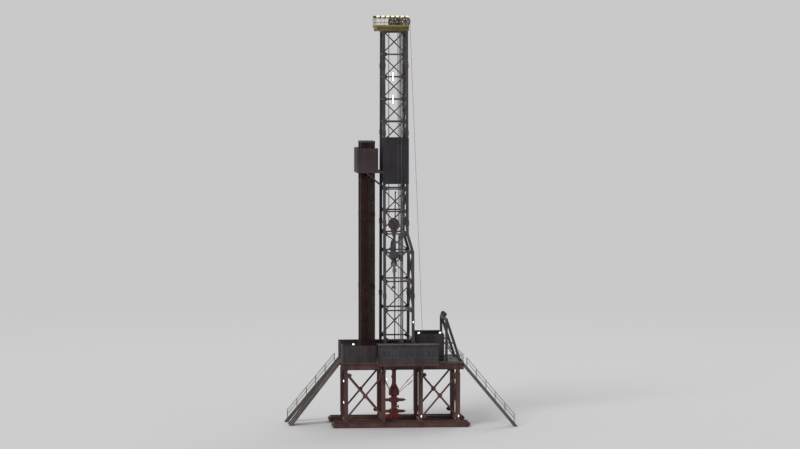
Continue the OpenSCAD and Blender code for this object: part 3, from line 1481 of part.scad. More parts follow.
gearbox_z = bail_pin_z - 1500;
gearbox_h = 330;
gearbox_x = -20;
gearbox_half = 310;
module rounded_block(x, y, r) {
    for (sx = [-1, 1]) for (sy = [-1, 1]) translate([sx * (x - r), sy * (y - r)]) circle(r = r);
    square([2 * x, 2 * (y - r)], center = true);
    square([2 * (x - r), 2 * y], center = true);
}
module top_drive() {
    motor_y = 250;
    motor_low = gearbox_z + gearbox_h;
    color(machine_paint) {
        for (side = sides) {
            bar([0, side * 385, gearbox_z + 180], [0, side * 225, bail_pin_z], 80);
            translate([0, side * 385 - 40, gearbox_z + 180]) rotate([-90, 0, 0]) cylinder(h = 80, r = 90);
            translate([-50, side * motor_y, motor_low]) {
                cylinder(h = 60, r = 165, $fn = 32);
                translate([0, 0, 60]) cylinder(h = 560, r = 145, $fn = 32);
                translate([0, 0, 620]) cylinder(h = 50, r = 160, $fn = 32);
                translate([0, 0, 670]) cylinder(h = 130, r = 120, $fn = 32);
                for (a = [0:30:330]) rotate(a) translate([140, -6, 90]) cube([22, 12, 500]);
            }
            translate([-200, side * (motor_y - 20) - 80, motor_low + 150]) cube([90, 160, 260]);
        }
        translate([0, -290, bail_pin_z]) rotate([-90, 0, 0]) cylinder(h = 580, r = bail_pin_r);
        translate([gearbox_x, 0, gearbox_z]) linear_extrude(gearbox_h) rounded_block(gearbox_half, 470, 90);
        translate([gearbox_x, 0, gearbox_z - 40]) linear_extrude(gearbox_h + 80)
            rounded_block(gearbox_half - 60, 410, 80);
        translate([0, 0, gearbox_z - 320]) cylinder(h = 320, r = 165, $fn = 32);
        translate([0, 0, gearbox_z - 340]) cylinder(h = 50, r = 200, $fn = 32);
        translate([0, 0, motor_low]) cylinder(h = 560, r = 85);
        translate([0, 0, motor_low + 560]) cylinder(h = 160, r = 60);
        translate([-130, 0, motor_low + 720]) rotate([90, 0, 0]) rotate_extrude(angle = 90)
            translate([130, 0]) circle(r = 36);
    }
}

module pipe_handler() {
    low = gearbox_z - 340;
    eye_z = low - 90;
    elevator_z = low - 1700;
    color(bare_steel) {
        translate([0, 0, low - 180]) cylinder(h = 180, r = 215, $fn = 32);
        translate([0, 0, low - 230]) cylinder(h = 50, r = 165, $fn = 32);
        translate([0, 0, low - 720]) cylinder(h = 490, r = 62);
        translate([0, 0, low - 760]) cylinder(h = 160, r = 48);
        block([-90, -80, low - 620], [150, 80, low - 380]);
        for (side = sides) {
            block([-45, side > 0 ? 180 : -280, eye_z - 60], [45, side > 0 ? 280 : -180, eye_z + 60]);
            rod([0, side * 240, eye_z], [0, side * 165, elevator_z + 130], 50, $fn);
            upright_x(side * 165, 44) translate([0, elevator_z + 90]) difference() {
                circle(r = 80, $fn = 32);
                circle(r = 38, $fn = 32);
            }
            block([-40, side * 165 - 20, elevator_z + 40], [40, side * 165 + 20, elevator_z + 62]);
        }
        difference() {
            translate([0, 0, elevator_z]) linear_extrude(150) union() {
                circle(r = 130, $fn = 32);
                translate([-38, -200]) square([76, 400]);
                translate([-150, -45]) square([60, 90]);
            }
            translate([0, 0, elevator_z - 1]) cylinder(h = 152, r = pipe_d / 2 + 6);
        }
    }
}

shoe_clear = 6;
module top_drive_carriage() {
    low = gearbox_z - 200;
    high = gearbox_z + 1500;
    depth = 30;
    module guide_shoe() {
        difference() {
            translate([-depth - shoe_clear, -rail_flange / 2 - shoe_clear - depth])
                square([2 * depth + 2 * shoe_clear + rail_t, rail_flange + 2 * shoe_clear + 2 * depth]);
            translate([-shoe_clear, -rail_flange / 2 - shoe_clear])
                square([rail_t + 2 * shoe_clear, rail_flange + 2 * shoe_clear]);
            translate([0, -rail_t / 2 - shoe_clear]) square([200, rail_t + 2 * shoe_clear]);
        }
    }
    frame_x = rail_x - depth - shoe_clear;
    color(mast_paint) {
        for (side = sides) {
            for (z = [low, high - 260])
                translate([rail_x, side * rail_y, z]) linear_extrude(260) guide_shoe();
            block([frame_x - 80, side * rail_y - 50, low], [frame_x, side * rail_y + 50, high]);
        }
        for (z = [low, gearbox_z + 100, high - 90])
            block([frame_x - 80, -rail_y, z], [frame_x, rail_y, z + 90]);
        block([gearbox_x + gearbox_half, -120, gearbox_z + 60], [frame_x - 80, 120, gearbox_z + 250]);
    }
}

/* Lamps */

// Lamp head on a bracket that stands on its seat
module lamp(w = 150, d = 70, h = 110) {
    block([-15, -15, 0], [15, 15, 50]);
    block([-w / 2, -d / 2, 50], [w / 2, d / 2, 50 + h]);
}

crown_lamp_count = 7;
module crown_lamps() {
    rail_top = crown_deck_z + crown_deck_t + rail_h;
    color(lamp_glow) for (side = sides) for (i = [0:crown_lamp_count - 1])
        translate([-crown_front + 150 + i * (crown_rear + crown_front - 300) / (crown_lamp_count - 1),
                   side * (crown_side - 20), rail_top]) lamp(240, 70, 130);
}

// Tube lamp that stands out from the given side of its seat
tube_w = 60;
module tube_lamp(h, out) {
    block([-12, min(0, out * 45), -20], [12, max(0, out * 45), 20]);
    block([-tube_w / 2, min(out * 35, out * 95), -h / 2], [tube_w / 2, max(out * 35, out * 95), h / 2]);
}

// Tube lamps on the mast are as tall as the dark lines beside them, and hang on two of its girts
mast_lamp_x = -170;
mast_lamp_h = 620;
mast_lamp_girts = [6, 7];
leg_lamp_h = 170;
front_lamp_x = wall_x0 + 690;
wall_lamp_xs = [tall_x0 + 170, tall_x1 - 250];
module flood_lamps() {
    post_out_y = outer_beam_y + post_half_y;
    color(lamp_glow) {
        for (x = wall_lamp_xs) translate([x, -tall_y - 12, floor_h + tall_wall_h]) lamp();
        translate([front_lamp_x, -wall_y - 12, floor_h + wall_h]) lamp();
        for (side = sides) for (i = mast_lamp_girts)
            on_side(side) translate([mast_lamp_x, side * girt_w / 2, upper_girts[i]])
                tube_lamp(mast_lamp_h, side);
        on_side(near) translate([foot_rear_x, -half_leg, 2650]) tube_lamp(leg_lamp_h, near);
        for (z = [1700, 3100])
            translate([leg_xs[0] - post_w / 2, -outer_beam_y, z]) rotate(90) tube_lamp(leg_lamp_h, 1);
        translate([leg_xs[1] + post_w / 2, -outer_beam_y, 3200]) rotate(-90) tube_lamp(leg_lamp_h, 1);
        for (x = [leg_xs[2], leg_xs[3]])
            translate([x, -post_out_y, 750]) tube_lamp(leg_lamp_h, near);
    }
}

base_skids();
base_spreaders();
support_legs();
substructure_braces();
floor_girders();
floor_spreaders();
drill_floor();
rotary_table();
setback_mats();
mast_shoes();
bop_stack();
bop_stays();
drawworks();
raising_frame();
doghouse_platform();
doghouse_walls();
doghouse_roof();
doghouse_glazing();
doghouse_door();
floor_wind_walls();
handrails();
pipe_ramp();
stair_stringers();
stair_treads();
front_legs();
rear_legs();
side_bracing_near();
side_bracing_far();
cross_bracing();
mast_wind_walls();
racking_board();
board_fingers();
board_wind_walls();
racked_pipe();
crown_frame();
crown_platform();
crown_sheaves();
guide_rails();
mast_ladder();
standpipe();
drilling_lines();
fast_and_dead_lines();
deadline_anchor();
travelling_block();
top_drive();
top_drive_carriage();
pipe_handler();
crown_lamps();
flood_lamps();
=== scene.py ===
"""Land drilling rig at half its real size, dressed for the picture. Lengths are in metres."""
import math

import bpy
from mathutils import Euler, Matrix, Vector


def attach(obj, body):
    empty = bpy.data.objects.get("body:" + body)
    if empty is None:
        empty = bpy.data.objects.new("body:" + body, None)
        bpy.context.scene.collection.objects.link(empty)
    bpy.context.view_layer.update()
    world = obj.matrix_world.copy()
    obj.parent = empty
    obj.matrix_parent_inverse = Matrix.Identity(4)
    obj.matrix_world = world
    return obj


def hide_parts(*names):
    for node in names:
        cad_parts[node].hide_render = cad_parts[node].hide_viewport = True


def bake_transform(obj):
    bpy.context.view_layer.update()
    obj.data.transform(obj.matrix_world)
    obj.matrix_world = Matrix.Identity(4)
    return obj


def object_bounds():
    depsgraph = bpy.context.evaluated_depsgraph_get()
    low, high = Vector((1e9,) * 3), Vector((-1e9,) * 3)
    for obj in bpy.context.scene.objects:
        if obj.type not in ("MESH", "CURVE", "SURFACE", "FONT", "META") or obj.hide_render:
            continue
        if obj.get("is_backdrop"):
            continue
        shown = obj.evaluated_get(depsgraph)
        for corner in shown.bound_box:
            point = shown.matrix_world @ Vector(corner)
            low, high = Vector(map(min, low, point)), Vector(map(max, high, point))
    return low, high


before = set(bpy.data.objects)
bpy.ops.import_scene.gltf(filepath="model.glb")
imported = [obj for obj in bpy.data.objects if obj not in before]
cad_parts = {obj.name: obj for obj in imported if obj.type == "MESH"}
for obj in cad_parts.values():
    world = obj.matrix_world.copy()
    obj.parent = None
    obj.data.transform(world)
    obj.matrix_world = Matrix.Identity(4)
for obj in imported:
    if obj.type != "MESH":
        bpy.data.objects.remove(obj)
rig_low, rig_high = (Vector(corner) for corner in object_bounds())


# Camera. The rig is seen almost square from the doghouse side, a little from the ramp's end, from just
# over its floor and from far off, so that the mast's near and far sides almost cover each other.
def placed(name, data):
    """A new object in the scene, at the frame's origin."""
    thing = bpy.data.objects.new(name, data)
    bpy.context.scene.collection.objects.link(thing)
    return thing


picture_w = 800
picture_h = 449
rig_share = 0.91
aim_share = 0.49
lens_mm = 135
sensor_mm = 36
camera_elevation = math.radians(3)
camera_azimuth = math.radians(-5)
camera_distance = rig_high.z / rig_share * picture_w / picture_h * lens_mm / sensor_mm
aim = Vector(((rig_low.x + rig_high.x) / 2, 0, rig_high.z * aim_share))

camera = placed("camera", bpy.data.cameras.new("camera"))
camera.data.lens = lens_mm
camera.data.sensor_width = sensor_mm
camera.data.clip_end = 1000
camera.rotation_euler = (math.pi / 2 - camera_elevation, 0, camera_azimuth)
camera.location = aim + camera.rotation_euler.to_matrix() @ Vector((0, 0, camera_distance))
bpy.context.scene.camera = camera


# Floor and light. A pale studio floor fades into a pale background, under a broad soft key light,
# a weaker light from behind and an even sky.
class Shade:
    """One socket of a node tree. Sums on it add Math nodes, and node() adds any other node."""

    def __init__(self, tree, socket=None):
        self.tree = tree
        self.socket = socket

    def node(self, kind, inputs=None, output=0, **settings):
        made = self.tree.nodes.new(kind if "Node" in kind else "ShaderNode" + kind)
        for name, value in settings.items():
            setattr(made, name, value)
        for name, value in (inputs or {}).items():
            self.plug(made.inputs[name], value)
        return Shade(self.tree, made.outputs[output])

    def plug(self, socket, value):
        for source in value if isinstance(value, list) else [value]:
            if isinstance(source, Shade):
                self.tree.links.new(source.socket, socket)
            else:
                socket.default_value = source

    def sum(self, operation, first, second):
        return self.node("Math", {0: first, 1: second}, operation=operation)

    def __add__(self, other):
        return self.sum("ADD", self, other)

    __radd__ = __add__

    def __sub__(self, other):
        return self.sum("SUBTRACT", self, other)

    def __rsub__(self, other):
        return self.sum("SUBTRACT", other, self)

    def __mul__(self, other):
        return self.sum("MULTIPLY", self, other)

    __rmul__ = __mul__

    def between(self, low, high):
        """0 below low, 1 above high and a smooth step from one to the other."""
        inputs = {"Value": self, "From Min": low, "From Max": high}
        return self.node("MapRange", inputs, "Result", interpolation_type="SMOOTHSTEP")

    def mix(self, first, second):
        """The first colour where this is 0, and the second where it is 1."""
        return self.node("Mix", {0: self, 6: first, 7: second}, 2, data_type="RGBA")

    def place(self):
        return self.node("TexCoord", output="Object")

    def axis(self, letter):
        """The X, Y or Z of this vector."""
        return self.node("SeparateXYZ", {0: self}, letter)

    def vector(self, x=0.0, y=0.0, z=0.0):
        return self.node("CombineXYZ", {"X": x, "Y": y, "Z": z})

    def noise(self, scale, detail=5, roughness=0.55, stretch=(1, 1, 1)):
        place = self.node("Mapping", {"Vector": self.place(), "Scale": stretch})
        inputs = {"Vector": place, "Scale": scale, "Detail": detail, "Roughness": roughness}
        return self.node("TexNoise", inputs, "Fac")

    def dress(self, looks, relief=None):
        """Plugs in looks and a relief, given as strength, depth and height, and returns the material."""
        if relief:
            strength, depth, height = relief
            inputs = {"Strength": strength, "Distance": depth, "Height": height}
            looks["Normal"] = self.node("Bump", inputs)
        for name, value in looks.items():
            self.plug(self.surface.inputs[name], value)
        return self.material


def grey(level):
    return (level, level, level, 1)


def new_finish(name, rough=0.6, metal=0.0):
    """The empty shade of a new finish, which knows its material and its surface node."""
    material = bpy.data.materials.new(name)
    material.use_nodes = True
    shade = Shade(material.node_tree)
    shade.material = material
    shade.surface = material.node_tree.nodes["Principled BSDF"]
    shade.dress({"Roughness": rough, "Metallic": metal})
    return shade


def around(count, start=0.0):
    """The cosine and sine of evenly spaced angles round a circle."""
    angles = [start + math.tau * i / count for i in range(count)]
    return [(math.cos(angle), math.sin(angle)) for angle in angles]


def add_mesh(name, points, faces, material):
    mesh = bpy.data.meshes.new(name)
    mesh.from_pydata(points, [], faces)
    mesh.materials.append(material)
    return placed(name, mesh)


def sun(name, strength, softness, elevation, azimuth):
    """A soft distant light that comes from an azimuth, measured from the camera's side towards +X."""
    lamp = bpy.data.lights.new(name, "SUN")
    lamp.energy = strength
    lamp.angle = math.radians(softness)
    placed(name, lamp).rotation_euler = Euler((math.radians(90 - elevation), 0, math.radians(azimuth)))


floor_radius = 190
floor_corners = 96
fade_from = 30
fade_to = 120
floor_grey = 0.55
background_grey = 0.58
sky_strength = 0.60
bpy.context.scene.view_settings.view_transform = "Standard"

world = bpy.data.worlds.new("studio")
bpy.context.scene.world = world
world.use_nodes = True
air = Shade(world.node_tree)
camera_ray, glossy_ray, clear_ray = (air.node("LightPath", output=f"Is {kind} Ray")
                                     for kind in ("Camera", "Glossy", "Transmission"))
seen = (camera_ray + glossy_ray + clear_ray).between(0, 1)
sky = world.node_tree.nodes["Background"]
air.plug(sky.inputs["Color"], seen.mix(grey(sky_strength), grey(background_grey)))

ground = new_finish("studio_floor", rough=0.9)
floor_finish = ground.dress({"Base Color": grey(floor_grey)})
reach = ground.node("VectorMath", {0: ground.place()}, "Value", operation="LENGTH")
lit = Shade(ground.tree, ground.surface.outputs[0])
faded = ground.node("MixShader", {0: reach.between(fade_from, fade_to), 1: lit,
                                  2: ground.node("BsdfTransparent")})
ground.plug(floor_finish.node_tree.nodes["Material Output"].inputs["Surface"], faded)

rim = [(floor_radius * c, floor_radius * s, 0) for c, s in around(floor_corners)]
add_mesh("studio_floor", rim, [list(range(floor_corners))], floor_finish)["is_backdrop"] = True
sun("key_light", 1.7, 25, 40, -40)
sun("back_light", 0.7, 40, 35, 150)


# Base skids and spreaders. Pairs of welded beams lie on the ground under each side of the rig, held
# apart by spreaders whose end plates are bolted on. They carry dark oxide-red paint, with dust on top
# and rust runs down the webs.
def weathered_paint(name, paint, chalk, rust, rusted=0.5, dusted=0.5, rough=0.55, grain=22.0):
    """Paint that has chalked in clouds, rusts in runs and patches, and holds dust where it faces up."""
    shade = new_finish(name)
    clouds = shade.noise(0.7, 6, 0.6)
    patches = shade.noise(3.1, 9, 0.68)
    runs = shade.noise(1.0, 8, 0.6, (11, 11, 0.8))
    streaks = shade.noise(1.0, 6, 0.6, (4, 4, 0.3))
    specks = shade.noise(grain, 6, 0.6)
    chalked = (clouds * 0.5 + streaks * 0.5).between(0.40, 0.60).mix(paint, chalk)
    deep = (patches * 0.6 + runs * 0.4).between(0.62 - 0.10 * rusted, 0.70 - 0.06 * rusted)
    rust_tone = specks.mix(rust, (rust[0] * 0.45, rust[1] * 0.4, rust[2] * 0.4, 1))
    coat = (deep * (0.35 + 0.65 * specks)).mix(chalked, rust_tone)
    facing_up = shade.node("NewGeometry", output="Normal").axis("Z")
    dust = facing_up.between(0.3, 0.9) * clouds.between(0.3, 0.75) * dusted
    dust_tone = (0.15, 0.125, 0.10, 1)
    looks = {"Base Color": dust.mix(coat, dust_tone), "Roughness": rough + 0.3 * deep + 0.25 * dust}
    return shade.dress(looks, (0.35, 0.012, specks * 0.5 + deep * patches))


def bare_metal(name, colour, stain, rough=0.38, scratch=(3, 3, 40)):
    """Steel worn bright in places, with a dull stain over the rest."""
    shade = new_finish(name, metal=1.0)
    stains = shade.noise(2.4, 8, 0.65)
    brushed = shade.noise(8, 4, 0.6, scratch)
    specks = shade.noise(30, 4)
    looks = {"Base Color": stains.between(0.40, 0.66).mix(colour, stain),
             "Roughness": rough + 0.35 * stains.between(0.4, 0.7) + 0.12 * brushed,
             "Metallic": 1 - 0.7 * stains.between(0.45, 0.7)}
    return shade.dress(looks, (0.25, 0.006, brushed * 0.5 + specks * 0.5))


def paint_nodes(material, *names):
    for name in names:
        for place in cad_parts[name].material_slots:
            place.material = material


def set_out(name, seats, shape, sizes, material, body="rig"):
    """Copies of a shape on seats, each a place, the way its foot looks out and the way its length lies.

    The shape is a function that makes one copy from the node tree's named inputs, one input for each size.
    """
    carrier = bpy.data.meshes.new(name)
    carrier.from_pydata([Vector(seat[0]) for seat in seats], [], [])
    for label, column in (("facing", 1), ("along", 2)):
        kept = carrier.attributes.new(label, "FLOAT_VECTOR", "POINT")
        for entry, seat in zip(kept.data, seats):
            entry.vector = seat[column] if column < len(seat) else (1, 0, 0.01)
    tree = bpy.data.node_groups.new(name, "GeometryNodeTree")
    tree.interface.new_socket("Seats", in_out="INPUT", socket_type="NodeSocketGeometry")
    plugs = {}
    for size, value in sizes.items():
        kind = "NodeSocketInt" if isinstance(value, int) else "NodeSocketFloat"
        plugs[size] = tree.interface.new_socket(size, in_out="INPUT", socket_type=kind).identifier
    tree.interface.new_socket("Pieces", in_out="OUTPUT", socket_type="NodeSocketGeometry")
    given = {socket.name: Shade(tree, socket) for socket in tree.nodes.new("NodeGroupInput").outputs}
    start = given["Seats"]
    turn = None
    for label, axis, pivot in (("facing", "Z", "AUTO"), ("along", "X", "Z")):
        vector = start.node("GeometryNodeInputNamedAttribute", {"Name": label}, data_type="FLOAT_VECTOR")
        inputs = {"Vector": vector} if turn is None else {"Rotation": turn, "Vector": vector}
        turn = start.node("FunctionNodeAlignRotationToVector", inputs, axis=axis, pivot_axis=pivot)
    copies = start.node("GeometryNodeInstanceOnPoints",
                        {"Points": start, "Instance": shape(given), "Rotation": turn})
    whole = start.node("GeometryNodeRealizeInstances", {"Geometry": copies})
    finished = start.node("GeometryNodeSetMaterial", {"Geometry": whole, "Material": material})
    start.plug(tree.nodes.new("NodeGroupOutput").inputs[0], finished)
    piece = placed(name, carrier)
    maker = piece.modifiers.new(name, "NODES")
    maker.node_group = tree
    for size, value in sizes.items():
        maker[plugs[size]] = value
    drawn = piece.evaluated_get(bpy.context.evaluated_depsgraph_get())
    piece.data = bpy.data.meshes.new_from_object(drawn)
    piece.modifiers.clear()
    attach(piece, body)


def cylinder(corners, radius, depth):
    """A cylinder whose middle is at the origin and whose axis is upright."""
    sizes = {"Vertices": corners, "Radius": radius, "Depth": depth}
    return radius.node("GeometryNodeMeshCylinder", sizes, "Mesh")


def moved(part, x=0.0, y=0.0, z=0.0, turn=(0, 0, 0)):
    inputs = {"Geometry": part, "Translation": part.vector(x, y, z), "Rotation": turn}
    return part.node("GeometryNodeTransform", inputs)


def joined(parts):
    return parts[0].node("GeometryNodeJoinGeometry", {"Geometry": parts})


def hex_bolt(given):
    """A hexagon head on a round washer, standing on its seat."""
    across, head_h = given["Across flats"], given["Head height"]
    head = cylinder(6, across * hexagon_reach, head_h)
    washer = cylinder(12, across * 0.95, across * 0.16)
    return joined([moved(head, z=head_h * 0.5 + across * 0.16), moved(washer, z=across * 0.08)])


def bolts(name, seats, across, body="rig"):
    set_out(name, seats, hex_bolt, {"Across flats": across, "Head height": across * 0.6}, bolt_steel, body)


def both_ways(axis):
    """The two unit directions along an axis, 0 for X, 1 for Y and 2 for Z."""
    return [Vector((sign if axis == i else 0 for i in range(3))) for sign in (-1, 1)]


hexagon_reach = 0.577
floor_h = 4.25
deck_under = 4.22
girder_under = 3.80
plate_t = 0.022
skid_h = 0.38
flange_w = 0.16
beam_ys = (1.35, 2.15)
leg_xs = (-3.3, -0.85, 1.6, 4.05)
flange_edge = beam_ys[0] - flange_w / 2
web_to_bolt = 0.084

oxide_paint = weathered_paint("oxide_paint", (0.050, 0.014, 0.013, 1), (0.094, 0.034, 0.029, 1),
                              (0.17, 0.064, 0.026, 1), rusted=1.0, dusted=0.7)
bolt_steel = bare_metal("bolt_steel", (0.20, 0.185, 0.17, 1), (0.09, 0.05, 0.035, 1), rough=0.45)
paint_nodes(oxide_paint, "base_skids", "base_spreaders")


def end_plate_bolts(plates, reach):
    """Six bolts on each end plate of each spreader, three on either side of its web."""
    return [((x + along * web_to_bolt, -look.y * (flange_edge - plate_t), z + rise * reach), look)
            for x, z in plates for look in both_ways(1) for along in (-1, 1) for rise in (-1, 0, 1)]


skid_plates = [(x, skid_h / 2) for x in (leg_xs[0], leg_xs[2], leg_xs[3])]
bolts("skid_spreader_bolts", end_plate_bolts(skid_plates, 0.11), 0.026)


# Support legs and their braces. Ladder-like legs swing on pins between the skids and the floor
# girders, with a keeper bolted over each pin's end, and crossed braces with gussets hold them upright.
def pin_keeper(given):
    """A round keeper plate with a hexagon bolt at its middle and a small one on either side."""
    radius = given["Radius"]
    parts = [moved(cylinder(20, radius, radius * 0.3), z=radius * 0.15)]
    for share, offset in ((0.5, 0), (0.2, -0.66), (0.2, 0.66)):
        head = cylinder(6, radius * share, radius * 0.3)
        parts.append(moved(head, radius * offset, z=radius * 0.4))
    return joined(parts)


def pin_keepers(name, seats, radius):
    set_out(name, seats, pin_keeper, {"Radius": radius}, bolt_steel)


def bay_bolts(start, stop):
    """Bolt places on the gussets of one crossed bay, as pairs along it and up it."""
    places = [(edge + turn * along, level + rise * up)
              for edge, turn in ((start, 1), (stop, -1)) for level, rise in ((post_low, 1), (post_high, -1))
              for along, up in corner_bolts]
    middle = ((start + stop) / 2, (post_low + post_high) / 2)
    return places + [(middle[0] + along, middle[1] + up) for along, up in centre_bolts]


pin_rise = 0.11
pin_reach = 0.076
post_w = 0.22
post_low = 0.595
post_high = 3.585
gusset_half_t = 0.008
bay_edge = beam_ys[0] - 0.07
corner_bolts = ((0.05, 0.03), (0.10, 0.03), (0.15, 0.045))
centre_bolts = ((0.14, 0), (-0.14, 0), (0, 0.14), (0, -0.14))
sides = (-1, 1)

paint_nodes(oxide_paint, "support_legs", "substructure_braces")
pin_ends = [((x, side * y + look.y * pin_reach, z), look)
            for x in leg_xs for side in sides for y in beam_ys
            for z in (skid_h + pin_rise, girder_under - pin_rise) for look in both_ways(1)]
pin_keepers("leg_pin_keepers", pin_ends, 0.034)

brace_bolts = []
for i in (0, 2):
    for along, rise in bay_bolts(leg_xs[i] + post_w / 2, leg_xs[i + 1] - post_w / 2):
        brace_bolts += [((along, side * beam_ys[1] + look.y * gusset_half_t, rise), look)
                        for side in sides for look in both_ways(1)]
for along, rise in bay_bolts(-bay_edge, bay_edge):
    brace_bolts += [((leg_xs[3] + look.x * gusset_half_t, along, rise), look) for look in both_ways(0)]
bolts("brace_gusset_bolts", brace_bolts, 0.024)


# Blowout preventers and their stays. Red-enamelled castings are stacked on the wellhead flange,
# with bolted bonnets and gate valves on the side outlets, and turnbuckles hold them upright.
def ring_of(count, centre, radius, look, start=0.0):
    """Seats on a circle round a centre, all looking the same way."""
    look = Vector(look)
    first = look.orthogonal().normalized()
    second = look.cross(first)
    outs = [first * c + second * s for c, s in around(count, start)]
    return [(Vector(centre) + out * radius, look, out) for out in outs]


preventer_paint = weathered_paint("preventer_paint", (0.16, 0.02, 0.018, 1), (0.21, 0.045, 0.038, 1),
                                  (0.09, 0.045, 0.028, 1), rusted=0.3, dusted=0.9, rough=0.35, grain=40.0)
machined_steel = bare_metal("machined_steel", (0.36, 0.34, 0.32, 1), (0.12, 0.085, 0.065, 1))
paint_nodes(preventer_paint, "bop_stack")
paint_nodes(machined_steel, "bop_stays")

stud_circle = 0.168
bonnet_face = 0.31
bonnet_zs = (0.55, 0.85, 1.60)
bonnet_studs = ((0.155, -0.07), (0.155, 0), (0.155, 0.07), (0.05, 0.102), (0.05, -0.102))
outlet_z = 1.225
flange_nuts = []
for z, look in ((0.07, 1), (0.33, -1), (2.60, 1), (2.53, -1)):
    flange_nuts += ring_of(20, (0, 0, z), stud_circle, (0, 0, look))
for look in both_ways(0):
    flange_nuts += [((look.x * bonnet_face, side * y, z + rise), look)
                    for z in bonnet_zs for side in sides for y, rise in bonnet_studs]
for look in both_ways(1):
    for out in (0.33, 0.64, 0.96):
        flange_nuts += ring_of(8, (0, look.y * (out + 0.05), outlet_z), 0.082, look)
bolts("preventer_nuts", flange_nuts, 0.026)


# Floor girders and spreaders. Four long welded beams stand on the pinned legs and carry the deck, and
# spreaders with bolted end plates hold them apart, all in the skids' oxide-red paint.
paint_nodes(oxide_paint, "floor_girders", "floor_spreaders")
floor_plates = [(x, (deck_under + girder_under + plate_t) / 2)
                for x in (leg_xs[0], -1.5, -0.65, 0.65, leg_xs[2], leg_xs[3])]
bolts("floor_spreader_bolts", end_plate_bolts(floor_plates, 0.13), 0.026)


# Deck, rotary table and setback mats. Worn chequer plate covers the girders, the rotary table is let
# into it over the well, and the racked pipe stands on oil-soaked hardwood mats.
def chequer_plate(name):
    """Walked-on plate with raised lozenges, polished on top and dirty between them."""
    shade = new_finish(name)
    place = shade.place()
    waves = [shade.node("Math", {0: place.axis(letter) * 68}, operation="SINE") for letter in "XY"]
    lozenge = (waves[0] * waves[1]).between(0.35, 0.7)
    wear = shade.noise(0.9, 8, 0.62)
    grit = shade.noise(26, 5)
    steel = wear.between(0.42, 0.62).mix((0.085, 0.066, 0.058, 1), (0.17, 0.15, 0.135, 1))
    clean = 0.45 + 0.55 * lozenge * grit.between(0.2, 0.6)
    looks = {"Base Color": clean.mix((0.06, 0.046, 0.038, 1), steel), "Metallic": 0.55 * lozenge,
             "Roughness": 0.72 - 0.28 * lozenge * wear}
    return shade.dress(looks, (0.6, 0.004, lozenge + 0.3 * grit))


def oiled_timber(name, plank_w):
    """Thick planks side by side along X, dark with oil, with grain and gaps."""
    shade = new_finish(name, rough=0.7)
    grain_lines = shade.noise(5, 9, 0.7, (9, 0.9, 6))
    plank = shade.node("Math", {0: shade.place().axis("X") * (1 / plank_w)}, operation="FRACT")
    gap = 1 - plank.between(0.0, 0.05) * (1 - plank.between(0.95, 1.0))
    wood = grain_lines.between(0.35, 0.65).mix((0.06, 0.036, 0.022, 1), (0.15, 0.10, 0.062, 1))
    looks = {"Base Color": gap.mix(wood, (0.02, 0.015, 0.012, 1))}
    return shade.dress(looks, (0.6, 0.01, grain_lines - gap))


def cuboid(length, width, height):
    size = length.vector(length, width, height)
    return size.node("GeometryNodeMeshCube", {"Size": size}, "Mesh")


def small_block(given):
    """A block that stands on its seat, with its length along the seat's own direction."""
    return moved(cuboid(given["Length"], given["Width"], given["Height"]), z=given["Height"] * 0.5)


def blocks(name, seats, length, width, height, material, body="rig"):
    sizes = {"Length": length, "Width": width, "Height": height}
    set_out(name, seats, small_block, sizes, material, body)


up = Vector((0, 0, 1))
rotary_top = floor_h + 0.04
mat_pitch = 0.22

paint_nodes(chequer_plate("deck_plate"), "drill_floor")
paint_nodes(machined_steel, "rotary_table")
paint_nodes(oiled_timber("timber", mat_pitch), "setback_mats")
bolts("rotary_rim_bolts", ring_of(24, (0, 0, rotary_top), 0.388, up), 0.022)
blocks("rotary_treads", ring_of(36, (0, 0, rotary_top), 0.31, up), 0.09, 0.008, 0.005, machined_steel)
mat_ends = [((x, side * y, floor_h + 0.1), up)
            for x in (-2.31 + mat_pitch * i for i in range(5)) for side in sides for y in (0.34, 1.18)]
bolts("mat_bolts", mat_ends, 0.03)


# Pipe ramp, stairs and handrails. Welded plate and bar hang from the deck's edges: the ramp has wear
# bars along it for the pipe, the treads are open grating behind a nosing, and the rails are tube.
def knuckle(given):
    """A welded ball where rails meet a post."""
    return given["Radius"].node("GeometryNodeMeshIcoSphere", {"Radius": given["Radius"], "Subdivisions": 2})


def post_socket(given):
    """A round socket that a post stands in, with a thicker lip."""
    radius = given["Radius"]
    return joined([moved(cylinder(16, radius * share, radius * depth), z=radius * lift)
                   for share, depth, lift in ((1.0, 3.0, 1.5), (1.25, 0.5, 2.9))])


def railing_posts(start, end, spacing=0.9):
    start, end = Vector(start), Vector(end)
    count = math.ceil(round((end - start).length / spacing, 6))
    return [start + (end - start) * i / count for i in range(count + 1)]


def rail_joints(feet):
    """Seats where the two rails meet posts that stand on these feet."""
    return [(foot + up * level, up) for foot in feet for level in rail_levels]


rail_paint = weathered_paint("rail_paint", (0.055, 0.046, 0.044, 1), (0.09, 0.078, 0.074, 1),
                             (0.12, 0.055, 0.03, 1), rusted=0.5, dusted=0.5)
ramp_steel = weathered_paint("ramp_steel", (0.07, 0.053, 0.05, 1), (0.115, 0.095, 0.086, 1),
                             (0.12, 0.055, 0.03, 1), rusted=0.9, dusted=0.6)
paint_nodes(ramp_steel, "pipe_ramp", "stair_treads")
paint_nodes(rail_paint, "stair_stringers", "handrails")

floor_front = 3.6
floor_rear = 4.4
ramp_slope = math.radians(52)
ramp_down = Vector((-math.cos(ramp_slope), 0, -math.sin(ramp_slope)))
ramp_out = Vector((-math.sin(ramp_slope), 0, math.cos(ramp_slope)))
ramp_len = floor_h / math.sin(ramp_slope)
ramp_middle = Vector((-floor_front, 0, floor_h)) + ramp_down * ramp_len * 0.5
wear_bars = [(ramp_middle + Vector((0, y, 0)), ramp_out, ramp_down)
             for y in (-0.4, -0.24, -0.08, 0.08, 0.24, 0.4)]
blocks("ramp_wear_bars", wear_bars, ramp_len * 0.97, 0.024, 0.016, machined_steel)

